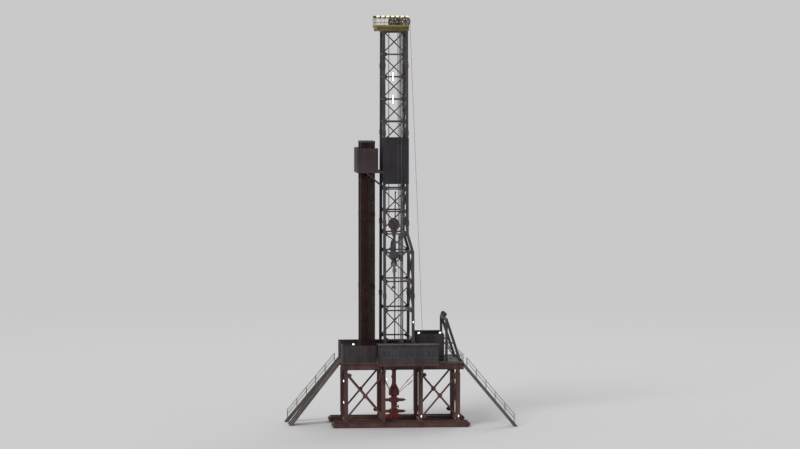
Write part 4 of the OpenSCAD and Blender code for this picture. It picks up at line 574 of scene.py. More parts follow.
risers = 40
rise = floor_h / risers
stair_run = floor_h / math.tan(math.radians(50))
going = stair_run / risers
stair_half = 0.25
tread_len = 2 * stair_half - 0.05
flights = ((floor_rear, 1, -2.04), (-floor_front, -1, 1.79))
across_y = (0, 1, 0)
bar_seats = []
nosing_seats = []
for start_x, way, y in flights:
    for i in range(1, risers):
        z = floor_h - i * rise
        back = start_x + way * max(0, i * going - going - 0.008)
        front = start_x + way * (i * going + 0.004)
        bar_seats += [((back + (front - back) * share, y, z), up, across_y)
                      for share in (0.12, 0.30, 0.48, 0.66)]
        nosing_seats.append(((front - way * 0.011, y, z), up, across_y))
blocks("tread_grating", bar_seats, tread_len, 0.005, 0.007, ramp_steel)
blocks("tread_nosings", nosing_seats, tread_len, 0.02, 0.010, machined_steel)

rail_h = 0.55
rail_d = 0.024
rail_levels = (rail_h / 2, rail_h - rail_d / 2)
knuckle_size = {"Radius": rail_d * 0.75}
posts_on_stair = 6
deck_runs = ((3.18, 2.27, 4.37, 2.27), (4.37, 2.27, 4.37, -1.71), (2.72, -2.27, 4.37, -2.27))
deck_posts = [post for x0, y0, x1, y1 in deck_runs
              for post in railing_posts((x0, y0, floor_h), (x1, y1, floor_h))]
stair_posts = []
for start_x, way, y in flights:
    for side in sides:
        for i in range(posts_on_stair):
            share = 0.06 + 0.88 * i / (posts_on_stair - 1)
            stair_posts.append(Vector((start_x + way * stair_run * share, y + side * (stair_half - 0.01),
                                       floor_h * (1 - share))))
set_out("rail_knuckles", rail_joints(deck_posts + stair_posts), knuckle, knuckle_size, rail_paint)
set_out("rail_sockets", [(post, up) for post in deck_posts], post_socket, {"Radius": 0.017}, rail_paint)


# Drawworks and dead line anchor. The grooved drum is wound with line between brake discs, gear cases
# and finned motors, all in dark machine enamel on a welded bed.
def rope_turn(given):
    """One turn of line, or part of one, round the seat's direction."""
    bend = {"Resolution": given["Steps"], "Radius": given["Radius"], "Sweep Angle": given["Sweep"]}
    arc = given["Radius"].node("GeometryNodeCurveArc", bend)
    round_line = {"Resolution": 8, "Radius": given["Line radius"]}
    section = arc.node("GeometryNodeCurvePrimitiveCircle", round_line)
    return arc.node("GeometryNodeCurveToMesh", {"Curve": arc, "Profile Curve": section, "Fill Caps": True})


def rope_turns(name, seats, radius, sweep, body="rig", steps=33):
    sizes = {"Radius": radius, "Sweep": sweep, "Line radius": line_d / 2, "Steps": steps}
    set_out(name, seats, rope_turn, sizes, wire_rope, body)


line_d = 0.019
clearance = 0.0003
machine_paint = weathered_paint("machine_paint", (0.04, 0.043, 0.052, 1), (0.07, 0.074, 0.082, 1),
                                (0.10, 0.045, 0.026, 1), rusted=0.25, dusted=0.7, rough=0.4, grain=45.0)
wire_rope = bare_metal("wire_rope", (0.16, 0.15, 0.14, 1), (0.05, 0.042, 0.036, 1), rough=0.45,
                       scratch=(40, 40, 40))
paint_nodes(machine_paint, "drawworks", "deadline_anchor")

drum_x = 2.15
drum_z = floor_h + 0.62
drum_r = 0.19
full_turn = math.tau * 0.9995
drum_seats = [((drum_x, -0.38 + 0.02 * i, drum_z), across_y, (1, 0, 0)) for i in range(39)]
rope_turns("drum_line", drum_seats, drum_r + line_d / 2 + clearance, full_turn, steps=49)

motor_x = drum_x + 0.06
motor_z = drum_z - 0.06
motor_r = 0.225
bed_top = floor_h + 0.16
fins = []
work_bolts = []
for side in sides:
    outs = [Vector((c, 0, s)) for c, s in around(36) if -0.75 < s < 0.82]
    fins += [(Vector((motor_x, side * 1.14, motor_z)) + out * motor_r, out, across_y) for out in outs]
    facing = (0, side, 0)
    work_bolts += ring_of(12, (motor_x, side * 1.33, motor_z), 0.205, facing)
    work_bolts += ring_of(16, (drum_x, side * 0.865, drum_z), 0.235, facing)
    work_bolts += ring_of(8, (drum_x, side * 0.535, drum_z), 0.30, facing)
    work_bolts += [((drum_x + x, side * y, bed_top), up) for x in (-0.455, 0.455) for y in (0.3, 0.9, 1.25)]
    work_bolts += [((drum_x + x, side * 0.69, bed_top + 0.05), facing) for x in (-0.36, -0.3, 0.3)]
blocks("motor_fins", fins, 0.30, 0.006, 0.018, machine_paint)
bolts("drawworks_bolts", work_bolts, 0.024)

sheave_r = 0.33
line_out = sheave_r + line_d / 2 + clearance
anchor_z = floor_h + 0.56
anchor_wrap_r = 0.17 + line_d / 2 + clearance
anchor_y = -1.48 - anchor_wrap_r
anchor_seats = [((line_out + 0.022 * i, anchor_y, anchor_z), (1, 0, 0), across_y) for i in range(-3, 4)]
rope_turns("anchor_line", anchor_seats, anchor_wrap_r, full_turn, steps=49)
anchor_feet = [((line_out + x, anchor_y + y, floor_h + 0.04), up)
               for x in (-0.135, 0.135) for y in (-0.14, 0, 0.14)]
bolts("anchor_bolts", anchor_feet, 0.026)


# Raising frame. Two braced posts and a cross beam behind the drawworks carried the line that raised
# the mast, over a sheave on each side.
mast_paint = weathered_paint("mast_paint", (0.019, 0.015, 0.022, 1), (0.045, 0.038, 0.049, 1),
                             (0.13, 0.05, 0.026, 1), rusted=0.65, dusted=0.5)
paint_nodes(mast_paint, "raising_frame")
raiser_x = 3.3
raiser_top = floor_h + 2.85
raiser_bolts = [((raiser_x + x, side * 1.75 + y, floor_h + 0.03), up)
                for side in sides for x in (-0.13, 0.13) for y in (-0.1, 0.1)]
for side in sides:
    for look in both_ways(1):
        raiser_bolts += ring_of(6, (raiser_x, side * 0.5 + look.y * 0.04, raiser_top + 0.17), 0.10, look)
bolts("raising_frame_bolts", raiser_bolts, 0.028)


# Doghouse. The driller's cabin hangs beside the deck on brackets: steel walls with a row of windows
# in bolted frames, a flanged roof, and one door towards the deck with a lever handle and three hinges.
def tinted_glass(name):
    """Tinted panes with a film of dust."""
    shade = new_finish(name)
    film = shade.noise(0.9, 4, 0.5).between(0.35, 0.75)
    tint = film.mix((0.010, 0.016, 0.022, 1), (0.034, 0.038, 0.040, 1))
    return shade.dress({"IOR": 1.5, "Base Color": tint, "Roughness": 0.12 + 0.25 * film,
                        "Alpha": 0.97 + 0.02 * film})


panel_paint = weathered_paint("panel_paint", (0.017, 0.010, 0.012, 1), (0.036, 0.025, 0.029, 1),
                              (0.12, 0.048, 0.026, 1), rusted=0.45, dusted=0.5)
paint_nodes(oxide_paint, "doghouse_platform")
paint_nodes(panel_paint, "doghouse_walls", "doghouse_roof", "doghouse_door")
paint_nodes(tinted_glass("window_glass"), "doghouse_glazing")

walls_foot = floor_h + 0.04
sill = walls_foot + 0.43
window_h = 0.5
window_half = 0.32
end_window_half = 0.35
bar_w = 0.018
bar_t = 0.012
pane_in = 0.004
bar_levels = (sill + bar_w / 2, sill + (window_h - bar_w / 2))
cabin_x0, cabin_x1 = -1.25, 2.6
cabin_y0, cabin_y1 = -3.6, -2.34
window_xs = [(cabin_x0 + cabin_x1) / 2 + (i - 2) * 0.73 for i in range(5)]
wide_bars = []
end_bars = []
upright_bars = []
frame_bolts = []
for y, look, xs in ((cabin_y0, -1, window_xs), (cabin_y1, 1, window_xs[:3])):
    facing = (0, look, 0)
    for x in xs:
        wide_bars += [((x, y - look * pane_in, z), facing, (1, 0, 0)) for z in bar_levels]
        upright_bars += [((x + shift, y - look * pane_in, sill + window_h / 2), facing, up)
                         for shift in (-window_half + bar_w / 2, 0, window_half - bar_w / 2)]
        frame_bolts += [((x + shift, y + look * 0.014, sill + level), facing)
                        for shift in (-0.30, -0.1, 0.1, 0.30) for level in (-0.018, window_h + 0.018)]
end_y = (cabin_y0 + cabin_y1) / 2
for look, x in ((-1, cabin_x0), (1, cabin_x1)):
    facing = (look, 0, 0)
    end_bars += [((x - look * pane_in, end_y, z), facing, across_y) for z in bar_levels]
    upright_bars += [((x - look * pane_in, end_y + shift, sill + window_h / 2), facing, up)
                     for shift in (-end_window_half + bar_w / 2, 0, end_window_half - bar_w / 2)]
for name, seats, length in (("window_rails", wide_bars, 2 * window_half),
                            ("end_window_rails", end_bars, 2 * end_window_half),
                            ("window_stiles", upright_bars, window_h - 2 * bar_w)):
    blocks(name, seats, length, bar_w, bar_t, rail_paint)

door_x = cabin_x1 - 0.7
door_face = cabin_y1 - 0.005
hinge_seats = [((door_x + 0.205, door_face, walls_foot + z), across_y, up) for z in (0.15, 0.52, 0.89)]
blocks("door_hinges", hinge_seats, 0.09, 0.035, 0.014, bolt_steel)
lever_seats = [((door_x - 0.15, door_face, walls_foot + 0.5), across_y, (1, 0, 0)),
               ((door_x - 0.17, door_face, walls_foot + 0.5), across_y, up)]
blocks("door_lever", lever_seats, 0.12, 0.022, 0.02, machined_steel)
for look, y in ((-1, cabin_y0 - 0.008), (1, cabin_y1 + 0.008)):
    frame_bolts += [((cabin_x0 + 0.12 + 0.19 * i, y, z), (0, look, 0))
                    for i in range(20) for z in (walls_foot + 0.045, walls_foot + 1.21 - 0.045)]
bolts("doghouse_bolts", frame_bolts, 0.014)


# Wind walls. Ribbed sheet on posts shelters the deck, the drawworks, the racking board and the mast
# beside it. A screw in every other valley holds it, and a folded cap closes its top edge.
def sheet_screws(start, run, outward, length, height):
    """Screws in the valleys of a ribbed sheet, in three rows, from its starting corner along its run."""
    start, run, outward = Vector(start), Vector(run), Vector(outward)
    ribs = math.floor(length / rib_pitch + 1e-6)
    return [(start + run * ((i + 0.15) * length / ribs) + outward * sheet_t + up * level, outward)
            for i in range(0, ribs, 2) for level in (0.08, height / 2, height - 0.08)]


def wall_strip(wall, inner, outer, low, high):
    """A box along a wall, between two distances out from the line it stands on and two heights."""
    axis, start, stop, line, look = wall[:5]
    across = (line + look * inner, line + look * outer)
    return ((start, stop), across, (low, high)) if axis == 0 else (across, (start, stop), (low, high))


def joined_boxes(name, boxes, material, bevel=0.003):
    """Closed boxes, each from its three spans, as one piece with rounded edges."""
    quads = ((0, 1, 3, 2), (4, 6, 7, 5), (0, 4, 5, 1), (2, 3, 7, 6), (0, 2, 6, 4), (1, 5, 7, 3))
    points = []
    faces = []
    for spans in boxes:
        spans = [sorted(span) for span in spans]
        first = len(points)
        points += [(x, y, z) for x in spans[0] for y in spans[1] for z in spans[2]]
        faces += [tuple(first + i for i in quad) for quad in quads]
    piece = add_mesh(name, points, faces, material)
    edge = piece.modifiers.new("edges", "BEVEL")
    edge.width = bevel
    edge.segments = 2
    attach(piece, "rig")
    return piece


board_paint = weathered_paint("board_paint", (0.021, 0.009, 0.012, 1), (0.040, 0.022, 0.026, 1),
                              (0.12, 0.048, 0.026, 1), rusted=0.4, dusted=0.5)
mast_sheet_paint = weathered_paint("mast_sheet_paint", (0.008, 0.005, 0.011, 1), (0.020, 0.015, 0.025, 1),
                                   (0.10, 0.040, 0.024, 1), rusted=0.4, dusted=0.5)
paint_nodes(panel_paint, "floor_wind_walls")
paint_nodes(board_paint, "board_wind_walls")
paint_nodes(mast_sheet_paint, "mast_wind_walls")

rib_pitch = 0.12
sheet_t = 0.008
wall_h = 1.15
tall_h = 1.8
board_wall_h = 1.6
board_z = 16.7
board_low = board_z - 0.06
wall_in = 1.395
stair_edge = flights[1][2] - stair_half - 0.02
# Each wall: the axis it runs along, its two ends, the line it stands on, the way it looks, foot and height
floor_walls = [(0, -3.54, -1.31, -2.24, -1, floor_h, wall_h), (0, -3.54, 3.1, 2.24, 1, floor_h, wall_h),
               (0, 1.33, 3.15, -1.5, -1, floor_h, tall_h), (0, 1.33, 3.15, 1.5, 1, floor_h, tall_h),
               (1, -2.24, -0.62, -3.54, -1, floor_h, wall_h),
               (1, 0.62, stair_edge, -3.54, -1, floor_h, wall_h), (1, -1.5, 1.5, 3.15, 1, floor_h, tall_h)]
board_walls = [(0, -2.5, -1.15, side * wall_in, side, board_low, board_wall_h) for side in sides]
board_walls.append((1, -wall_in, wall_in, -2.5, -1, board_low, board_wall_h))
wall_screws = []
wall_caps = []
for wall in floor_walls + board_walls:
    axis, start, stop, line, look, foot, height = wall
    if axis == 0:
        wall_screws += sheet_screws((start, line, foot), (1, 0, 0), (0, look, 0), stop - start, height)
    else:
        wall_screws += sheet_screws((line, stop, foot), (0, -1, 0), (look, 0, 0), stop - start, height)
    wall_caps.append(wall_strip(wall, -0.012, 0.036, foot + height, foot + height + 0.012))
wall_rails = [wall_strip(wall, -0.001, -0.032, floor_h + level, floor_h + level + 0.04)
              for wall in floor_walls for level in (0.12, wall[6] / 2, wall[6] - 0.12)]
bolts("wall_screws", wall_screws, 0.013)
joined_boxes("wall_caps", wall_caps, panel_paint)
joined_boxes("wall_rails", wall_rails, panel_paint)


# Mast. Four square legs in pinned sections carry the crown, with welded lattice on three sides. The
# legs stand on pins in their shoes, sleeves with two pins join their sections, and gussets their girts.
def on_plane(side, x, out, height):
    """A point given on the mast's leaning side plane: along it, out from it and up it."""
    y = side * foot_w / 2 + out * math.cos(side * lean) - height * math.sin(side * lean)
    z = floor_h + out * math.sin(side * lean) + height * math.cos(side * lean)
    return Vector((x, y, z))


def plane_out(side, way):
    """Outward or inward direction of a side plane."""
    return Vector((0, way * math.cos(lean), way * side * math.sin(lean)))


def rear_centre(height):
    """Where a rear leg's middle is along X, at a height up its side plane."""
    if height <= plane_flare:
        return foot_rear_x
    if height >= plane_splice:
        return rear_x
    return foot_rear_x + (rear_x - foot_rear_x) * (height - plane_flare) / (plane_splice - plane_flare)


def side_y(z):
    """How far a side plane is from the mast's middle, at a height over the ground."""
    return foot_w / 2 - (foot_w - top_w) / 2 * (z - floor_h) / mast_h


foot_w = 3.8
top_w = 1.9
mast_h = 21.65
top_clear = floor_h + mast_h - 0.15
lean = math.atan((foot_w - top_w) / 2 / mast_h)
leg_w = 0.18
front_x = -0.75
rear_x = 0.75
foot_rear_x = 1.10
flare_up = 7.2
splice_up = 8.4
plane_flare = flare_up / math.cos(lean)
plane_splice = splice_up / math.cos(lean)
upper_step = (mast_h - splice_up - 0.06) / 9 / math.cos(lean)
girts = [flare_up - 1.9 * i for i in (3, 2, 1, 0)] + [plane_splice + i * upper_step for i in range(10)]

paint_nodes(mast_paint, "mast_shoes", "front_legs", "rear_legs", "side_bracing_near", "side_bracing_far",
            "cross_bracing")
sleeve_half = leg_w / 2 + 0.016
girt_half = 0.045
girt_gusset_bolts = ((0.12, 0.088), (0.12, -0.088), (0.165, 0.07), (0.165, -0.07))
splice_bolts = []
sleeve_pins = []
foot_pins = []
girt_bolts = []
for side in sides:
    for height in (4.35, 9.13, 15.0, 19.39):
        for x in (front_x, rear_centre(height)):
            for look in both_ways(0):
                splice_bolts += [(on_plane(side, x + look.x * sleeve_half, across, height + rise), look)
                                 for across in (-0.05, 0.05) for rise in (-0.12, -0.04, 0.04, 0.12)]
            for way in sides:
                sleeve_pins += [(on_plane(side, x, way * (sleeve_half + 0.03), height + rise),
                                 plane_out(side, way)) for rise in (-0.08, 0.08)]
    for x in (front_x, foot_rear_x):
        foot_pins += [(on_plane(side, x, way * 0.162, 0.43), plane_out(side, way)) for way in sides]
    for height in girts:
        if height + floor_h > top_clear:
            continue
        for x, hand in ((front_x, 1), (rear_centre(height), -1)):
            for way in sides:
                look = plane_out(side, way)
                girt_bolts += [(on_plane(side, x + hand * along, way * gusset_half_t, height + rise), look)
                               for along, rise in girt_gusset_bolts]
                girt_bolts += [(on_plane(side, x + hand * along, way * girt_half, height), look)
                               for along in (0.13, 0.19)]
bolts("splice_bolts", splice_bolts, 0.026)
pin_keepers("splice_pin_keepers", sleeve_pins, 0.024)
pin_keepers("foot_pin_keepers", foot_pins, 0.048)
bolts("girt_bolts", girt_bolts, 0.022)

rear_bolts = []
for i, height in list(enumerate(girts))[1:]:
    x = foot_rear_x if i < 4 else rear_x
    z = floor_h + height * math.cos(lean)
    if z > top_clear:
        continue
    for side in sides:
        for look in both_ways(0):
            rear_bolts += [((x + look.x * gusset_half_t, side * (side_y(z) - 0.13), z + rise), look)
                           for rise in (0.088, -0.088)]
            rear_bolts += [((x + look.x * 0.04, side * (side_y(z) - along), z), look)
                           for along in (0.14, 0.20)]
bolts("rear_girt_bolts", rear_bolts, 0.022)


# Racking board and racked pipe. The board's fingers keep the stands of drill pipe upright. The pipe is
# brown with mill scale, with thicker tool joints and a bright threaded box at each top.
def thread_box(given):
    """A short collar with a bevelled lip on the top of a stand."""
    return joined([moved(cylinder(16, given["Radius"] * share, height), z=lift)
                   for share, height, lift in ((1.0, 0.03, -0.045), (0.86, 0.012, 0.006))])


def grating(name, seats, length, width=0.006, height=0.012):
    blocks(name, seats, length, width, height, mast_paint)


drill_pipe = bare_metal("drill_pipe", (0.085, 0.05, 0.045, 1), (0.038, 0.016, 0.014, 1), rough=0.55)
paint_nodes(mast_paint, "racking_board", "board_fingers")
paint_nodes(drill_pipe, "racked_pipe")

pipe_top = floor_h + 0.1 + 14.35
stand_tops = [((-2.24 + 0.125 * i, side * (0.42 + 0.105 * j), pipe_top), up)
              for side in sides for i in range(8) for j in range(7)]
set_out("stand_collars", stand_tops, thread_box, {"Radius": 0.0435}, machined_steel)

walk_z = board_z + 0.03
grating("diving_board_grating", [((-2.42 + 0.04 * i, 0, walk_z), up, across_y) for i in range(42)], 0.38)
grating("diving_board_edges", [((-1.6, side * 0.192, walk_z), up, (1, 0, 0)) for side in sides], 1.76,
        0.012, 0.016)


# Crown. Beams on the mast's legs carry the sheaves, the line runs over them in their grooves, and a
# platform of grating with railings runs round them.
def sheave_y(i):
    return (i - (sheave_count - 1) / 2) * sheave_pitch


sheave_pitch = 0.075
sheave_count = 6
crown_z = 26.49
crown_deck_top = 26.18
# The crown's frame, platform, railings and hatch are in weathered safety-yellow paint, lighter than the
# dark mast. The yellow also stands in for the warm crown lamps' light falling on the mast top: painted lamp
# light.
crown_yellow_and_painted_lamplight = weathered_paint("crown_yellow_and_painted_lamplight", (0.165, 0.125, 0.022, 1), (0.235, 0.185, 0.055, 1),
                              (0.10, 0.045, 0.02, 1), rusted=0.6, dusted=0.3)
paint_nodes(crown_yellow_and_painted_lamplight, "crown_frame", "crown_platform")
paint_nodes(machine_paint, "crown_sheaves")

last_sheave_y = sheave_y(sheave_count - 1)
over_seats = [((0, sheave_y(i), crown_z), (0, -1, 0), (1, 0, 0)) for i in range(sheave_count - 1)]
rope_turns("crown_line", over_seats, line_out, math.pi)
rope_turns("crown_last_line", [((0, last_sheave_y, crown_z), (0, -1, 0), up)], line_out, math.pi / 2)
hub_bolts = []
for look, y in ((-1, sheave_y(0) - 0.028), (1, last_sheave_y + 0.028)):
    hub_bolts += ring_of(8, (0, y, crown_z), 0.086, (0, look, 0))
bearing_y = sheave_count * sheave_pitch / 2 + 0.115
for side in sides:
    hub_bolts += [((x, side * bearing_y + look.y * 0.045, crown_z + 0.05), look)
                  for x in (-0.1, 0.1) for look in both_ways(1)]
bolts("crown_bolts", hub_bolts, 0.022)

crown_side = 1.35
well_side = 0.45
bar_pitch = 0.035
front_bars = [((-1.26 + bar_pitch * i, 0, crown_deck_top), up, across_y) for i in range(24)]
side_bars = [((0.22, side * (well_side + 0.03 + bar_pitch * i), crown_deck_top), up, (1, 0, 0))
             for side in sides for i in range(25) if side > 0 or i > 10]
grating("crown_grating", front_bars, 2 * crown_side - 0.1)
grating("crown_side_grating", side_bars, 1.24)

crown_edge = crown_side - 0.02
front_rail_x = -1.28
rear_rail_x = 0.88
crown_runs = [(front_rail_x, -crown_edge, front_rail_x, crown_edge, 0.7)]
for side in sides:
    crown_runs += [(front_rail_x, side * crown_edge, rear_rail_x, side * crown_edge, 0.7),
                   (rear_rail_x, side * 0.48, rear_rail_x, side * crown_edge, 0.9)]
crown_posts = [post for x0, y0, x1, y1, spacing in crown_runs
               for post in railing_posts((x0, y0, crown_deck_top), (x1, y1, crown_deck_top), spacing)]
set_out("crown_knuckles", rail_joints(crown_posts), knuckle, knuckle_size, crown_yellow_and_painted_lamplight)
set_out("crown_rail_sockets", [(post, up) for post in crown_posts], post_socket, {"Radius": 0.016},
        crown_yellow_and_painted_lamplight)

hatch_x = 0.25
hatch_y = -1.14
hatch_top = crown_deck_top + 0.022
hatch = [((hatch_x - half, hatch_x + half), (hatch_y + low, hatch_y + high), levels)
         for half, low, high, levels in ((0.19, -0.17, 0.17, (crown_deck_top, hatch_top)),
                                         (0.16, -0.14, 0.14, (hatch_top, hatch_top + 0.006)),
                                         (0.05, 0.09, 0.10, (hatch_top, hatch_top + 0.03)))]
hatch += [((x - 0.02, x + 0.02), (hatch_y - 0.18, hatch_y - 0.12), (hatch_top, hatch_top + 0.012))
          for x in (hatch_x - 0.1, hatch_x + 0.1)]
joined_boxes("crown_hatch", hatch, crown_yellow_and_painted_lamplight)


# Guide rails, ladder and standpipe. The rails are greased bright where the top drive's shoes run, and
# the standpipe is in lengths joined by hammer unions.
def hammer_union(given):
    """A round nut with three lugs, standing on its seat."""
    radius = given["Radius"]
    parts = [cylinder(24, radius, radius * 1.2)]
    for i, (c, s) in enumerate(around(3)):
        lug = cuboid(radius * 0.7, radius * 0.45, radius * 0.6)
        parts.append(moved(lug, radius * (1.15 * c), radius * (1.15 * s), turn=(0, 0, math.tau * i / 3)))
    return joined(parts)


paint_nodes(machined_steel, "guide_rails")
paint_nodes(rail_paint, "mast_ladder")
paint_nodes(machine_paint, "standpipe")
standpipe_x = 0.2
standpipe_r = 0.036
pipe_in = girt_half + standpipe_r + clearance
climb = (on_plane(1, 0, 0, 1) - on_plane(1, 0, 0, 0)).normalized()
unions = [(on_plane(1, standpipe_x, -pipe_in, height), climb) for height in (2.6, 6.3, 9.9)]
set_out("standpipe_unions", unions, hammer_union, {"Radius": 0.056}, machine_paint)
clamps = [(on_plane(1, standpipe_x, 0, height) - Vector((0, girt_half, 0)), (0, -1, 0), (1, 0, 0))
          for height in girts[:8] if height < 10.4]
blocks("standpipe_clamps", clamps, 0.13, 0.03, 0.012, bolt_steel)


# Drilling line. Twelve falls of greased wire rope hang between the crown and the travelling block, and
# lengthen and shorten as the block sinks and rises. The fast and dead lines are the same rope.
def tube_between(low, high, radius, corners):
    """Closed straight tube with one ring of corners at each end."""
    ends = [end + Vector((radius * c, radius * s, 0)) for end in (low, high) for c, s in around(corners)]
    walls = [(i, (i + 1) % corners, corners + (i + 1) % corners, corners + i) for i in range(corners)]
    return ends, walls + [tuple(range(corners - 1, -1, -1)), tuple(range(corners, 2 * corners))]


block_z = 13.2
line_sides = 10
paint_nodes(wire_rope, "fast_and_dead_lines")
fall_points = []
fall_faces = []
for i in range(sheave_count):
    for x, top_y in ((-line_out, sheave_y(i)), (line_out, sheave_y(i - 1))):
        ends, walls = tube_between(Vector((x, sheave_y(i), block_z)), Vector((x, top_y, crown_z)),
                                   line_d / 2, line_sides)
        fall_faces += [tuple(len(fall_points) + corner for corner in wall) for wall in walls]
        fall_points += ends
falls = add_mesh("drilling_line_falls", fall_points, fall_faces, wire_rope)
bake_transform(falls)
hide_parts("drilling_lines")


# Travelling block. Six sheaves turn between dark side plates, with the line under them, and a clevis
# below holds the top drive's pin.
block_paint = weathered_paint("block_paint", (0.05, 0.036, 0.03, 1), (0.085, 0.066, 0.054, 1),
                              (0.09, 0.045, 0.028, 1), rusted=0.4, dusted=0.6, rough=0.4)
paint_nodes(block_paint, "travelling_block")
gear = "travelling_gear"
under_seats = [((0, sheave_y(i), block_z), (0, -1, 0), (-1, 0, 0)) for i in range(sheave_count)]
rope_turns("block_line", under_seats, line_out, math.pi, gear)
plate_face = sheave_count * sheave_pitch / 2 + 0.004 + 0.036
block_bolts = []
for side in sides:
    block_bolts += ring_of(8, (0, side * (plate_face + 0.02), block_z), 0.088, (0, side, 0))
    block_bolts += [((way * x, side * plate_face, block_z - drop), (0, side, 0))
                    for x, drop in ((0.13, 0.47), (0.21, 0.12), (0.16, 0.36)) for way in sides]
bolts("block_bolts", block_bolts, 0.026, gear)


# Top drive, carriage and pipe handler. Two finned motors on a gearbox turn the pipe, a carriage with
# shoes runs on the guide rails, and links carry the elevator below.
paint_nodes(machine_paint, "top_drive", "top_drive_carriage")
paint_nodes(machined_steel, "pipe_handler")
gearbox_x = -0.02
gearbox_z = block_z - 0.7 - 1.5
gearbox_top = gearbox_z + 0.33
drive_bolts = []
for side in sides:
    for z, radius in ((gearbox_top + 0.06, 0.155), (gearbox_top + 0.67, 0.142)):
        drive_bolts += ring_of(12, (-0.05, side * 0.25, z), radius, up, math.pi / 12)
    drive_bolts += [((gearbox_x + x, side * 0.44, gearbox_top), up) for x in (-0.2, -0.1, 0, 0.1, 0.2)]
    drive_bolts += [((gearbox_x + side * 0.28, y, gearbox_top), up)
                    for y in (-0.35, -0.21, -0.07, 0.07, 0.21, 0.35)]
    drive_bolts += [((gearbox_x + x, side * 0.47, gearbox_z + z), (0, side, 0))
                    for x in (-0.19, 0.19) for z in (0.05, 0.28)]
drive_bolts += ring_of(16, (0, 0, gearbox_z - 0.29), 0.1825, up)
bolts("top_drive_bolts", drive_bolts, 0.02, gear)
louvres = [((-0.25, side * 0.23, gearbox_top + 0.18 + 0.03 * i), (-1, 0, 0), across_y)
           for side in sides for i in range(7)]
blocks("blower_louvres", louvres, 0.13, 0.012, 0.012, machine_paint, gear)
handler_low = gearbox_z - 0.34
handler_bolts = ring_of(16, (0, 0, handler_low - 0.18), 0.19, (0, 0, -1))
handler_bolts += [((0.15, y, handler_low - drop), (1, 0, 0))
                  for y in (-0.055, 0.055) for drop in (0.41, 0.5, 0.59)]
bolts("handler_bolts", handler_bolts, 0.018, gear)


# Lamps. Dark cast housings with cooling ribs hold glowing lenses: a row of warm ones on the crown's
# railings, tall cool ones on the mast, and small cool ones on the walls and legs.
def glow(name, colour, strength):
    """A lens with a faint prism pattern, its glow a little dimmer in patches of haze."""
    shade = new_finish(name, rough=0.3)
    haze = shade.noise(18, 4)
    dim, rim = (tuple(c * share for c in colour) for share in (0.3, 0.9))
    return shade.dress({"Base Color": haze.mix(dim, grey(0.2)), "Emission Strength": strength,
                        "Emission Color": haze.between(0.1, 0.9).mix(colour, rim)})


def lamp_head(place, look, wide, high, deep=0.07, stem=0.05):
    """Boxes of one lamp's shell and its lens. The shell is a tray open to the front, with ribs behind."""
    place, look = Vector(place), Vector(look)
    across = look.cross(up)

    def span(from_across, to_across, from_out, to_out, from_up, to_up):
        corners = [place + across * a + look * o + up * z
                   for a, o, z in ((from_across, from_out, from_up), (to_across, to_out, to_up))]
        return [sorted((corners[0][i], corners[1][i])) for i in range(3)]

    half, half_h, half_d = wide / 2, high / 2, deep / 2
    inner, inner_h = half - rim_w, half_h - rim_w
    back, tray = -half_d * 0.2, half_d * 0.7
    shell = [(-half, half, back, tray, -half_h, half_h), (-half, -inner, tray, half_d, -half_h, half_h),
             (inner, half, tray, half_d, -half_h, half_h), (-inner, inner, tray, half_d, -half_h, -inner_h),
             (-inner, inner, tray, half_d, inner_h, half_h)]
    ribs = max(3, round(wide / 0.03))
    for i in range(ribs):
        middle = -half + (i + 0.5) * wide / ribs
        shell.append((middle - 0.003, middle + 0.003, -half_d, back, -half_h * 0.9, half_h * 0.9))
    shell.append((-0.015, 0.015, -0.015, 0.015, -half_h - stem, -half_h))
    lens = (-inner, inner, tray, half_d - lens_out, -inner_h, inner_h)
    return [span(*limits) for limits in shell], span(*lens)


def lamp_row(name, node, lamps, lens_finish):
    """Shells and lenses of a node's lamps. The lenses stand for the node."""
    heads = [lamp_head(*lamp) for lamp in lamps]
    shell_boxes = [box for shell, lens in heads for box in shell]
    joined_boxes(name + "_shells", shell_boxes, lamp_shell, 0.002)
    lenses = joined_boxes(name + "_lenses", [lens for shell, lens in heads], lens_finish)
    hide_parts(node)


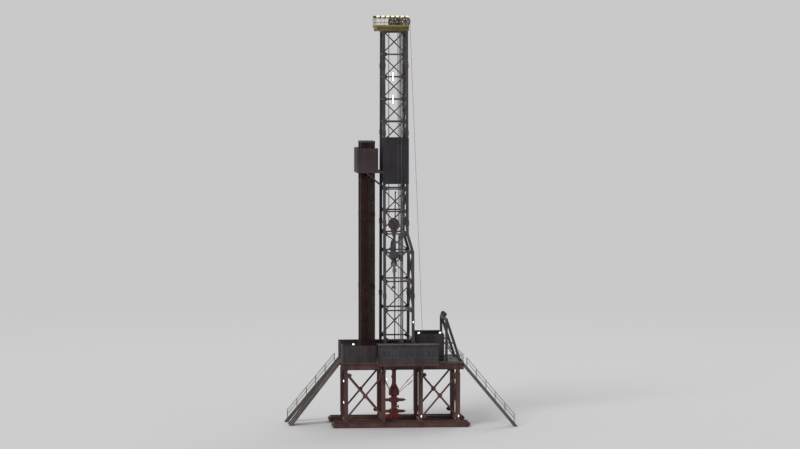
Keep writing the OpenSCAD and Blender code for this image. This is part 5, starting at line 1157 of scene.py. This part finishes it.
lamp_warm = glow("lamp_warm", (1.0, 0.88, 0.52, 1), 1.1)
lamp_cool = glow("lamp_cool", (0.92, 0.93, 1.0, 1), 2.2)
lamp_shell = weathered_paint("lamp_shell", (0.03, 0.03, 0.032, 1), (0.06, 0.06, 0.062, 1),
                             (0.08, 0.04, 0.025, 1), rusted=0.2, dusted=0.7, rough=0.4)
rim_w = 0.012
lens_out = 0.004
crown_lamp_z = crown_deck_top + rail_h + 0.05 + 0.065
crown_lamps = [((-1.15 + i * 1.9 / 6, side * crown_edge, crown_lamp_z), (0, side, 0), 0.24, 0.13)
               for side in sides for i in range(7)]
lamp_row("crown_lamp", "crown_lamps", crown_lamps, lamp_warm)
flood_places = ((1.5, -1.512, floor_h + tall_h), (2.9, -1.512, floor_h + tall_h),
                (-2.85, -2.252, floor_h + wall_h))
flood = [((x, y, z + 0.105), (0, -1, 0), 0.15, 0.11) for x, y, z in flood_places]
lamp_row("flood_lamp", "flood_lamps", flood, lamp_cool)


# Tube lamps. Long ones hang on the mast's girts and short ones on the legs: a bright diffuser tube with
# end caps and guard hoops, on a spine and an arm.
def round_part(given, radius, length, place):
    """A cylinder that lies along the seat's own direction, its middle at a place along it."""
    return moved(cylinder(16, radius, length), place, z=given["Standoff"], turn=(0, math.pi / 2, 0))


def tube_diffuser(given):
    return round_part(given, given["Radius"], given["Length"] * 0.96, 0)


def tube_holder(given):
    radius, length, standoff = given["Radius"], given["Length"], given["Standoff"]
    parts = [round_part(given, radius * 1.08, radius * 0.7, length * 0.5 - radius * 0.35),
             round_part(given, radius * 1.08, radius * 0.7, length * -0.5 + radius * 0.35)]
    parts += [round_part(given, radius * 1.06, radius * 0.2, length * share) for share in (-0.2, 0.2)]
    spine = cuboid(length, radius * 1.1, radius * 0.5)
    arm = cuboid(radius * 1.2, radius * 0.8, standoff - radius)
    return joined(parts + [moved(spine, z=standoff - radius), moved(arm, z=(standoff - radius) * 0.5)])


near_y = -beam_ys[1]
mast_tubes = [(on_plane(side, -0.17, side * girt_half, girts[4 + i]), (0, side, 0), up)
              for side in sides for i in (6, 7)]
leg_tubes = [(on_plane(-1, foot_rear_x, -leg_w / 2, 2.65), (0, -1, 0), up),
             ((leg_xs[1] + post_w / 2, near_y, 3.2), (1, 0, 0), up)]
leg_tubes += [((leg_xs[0] - post_w / 2, near_y, z), (-1, 0, 0), up) for z in (1.7, 3.1)]
leg_tubes += [((x, -2.22, 0.75), (0, -1, 0), up) for x in leg_xs[2:]]
for name, seats, length in (("mast_tube", mast_tubes, 0.62), ("leg_tube", leg_tubes, 0.17)):
    sizes = {"Radius": 0.028, "Length": length, "Standoff": 0.065}
    set_out(name + "_diffusers", seats, tube_diffuser, sizes, lamp_cool)
    set_out(name + "_holders", seats, tube_holder, sizes, lamp_shell)
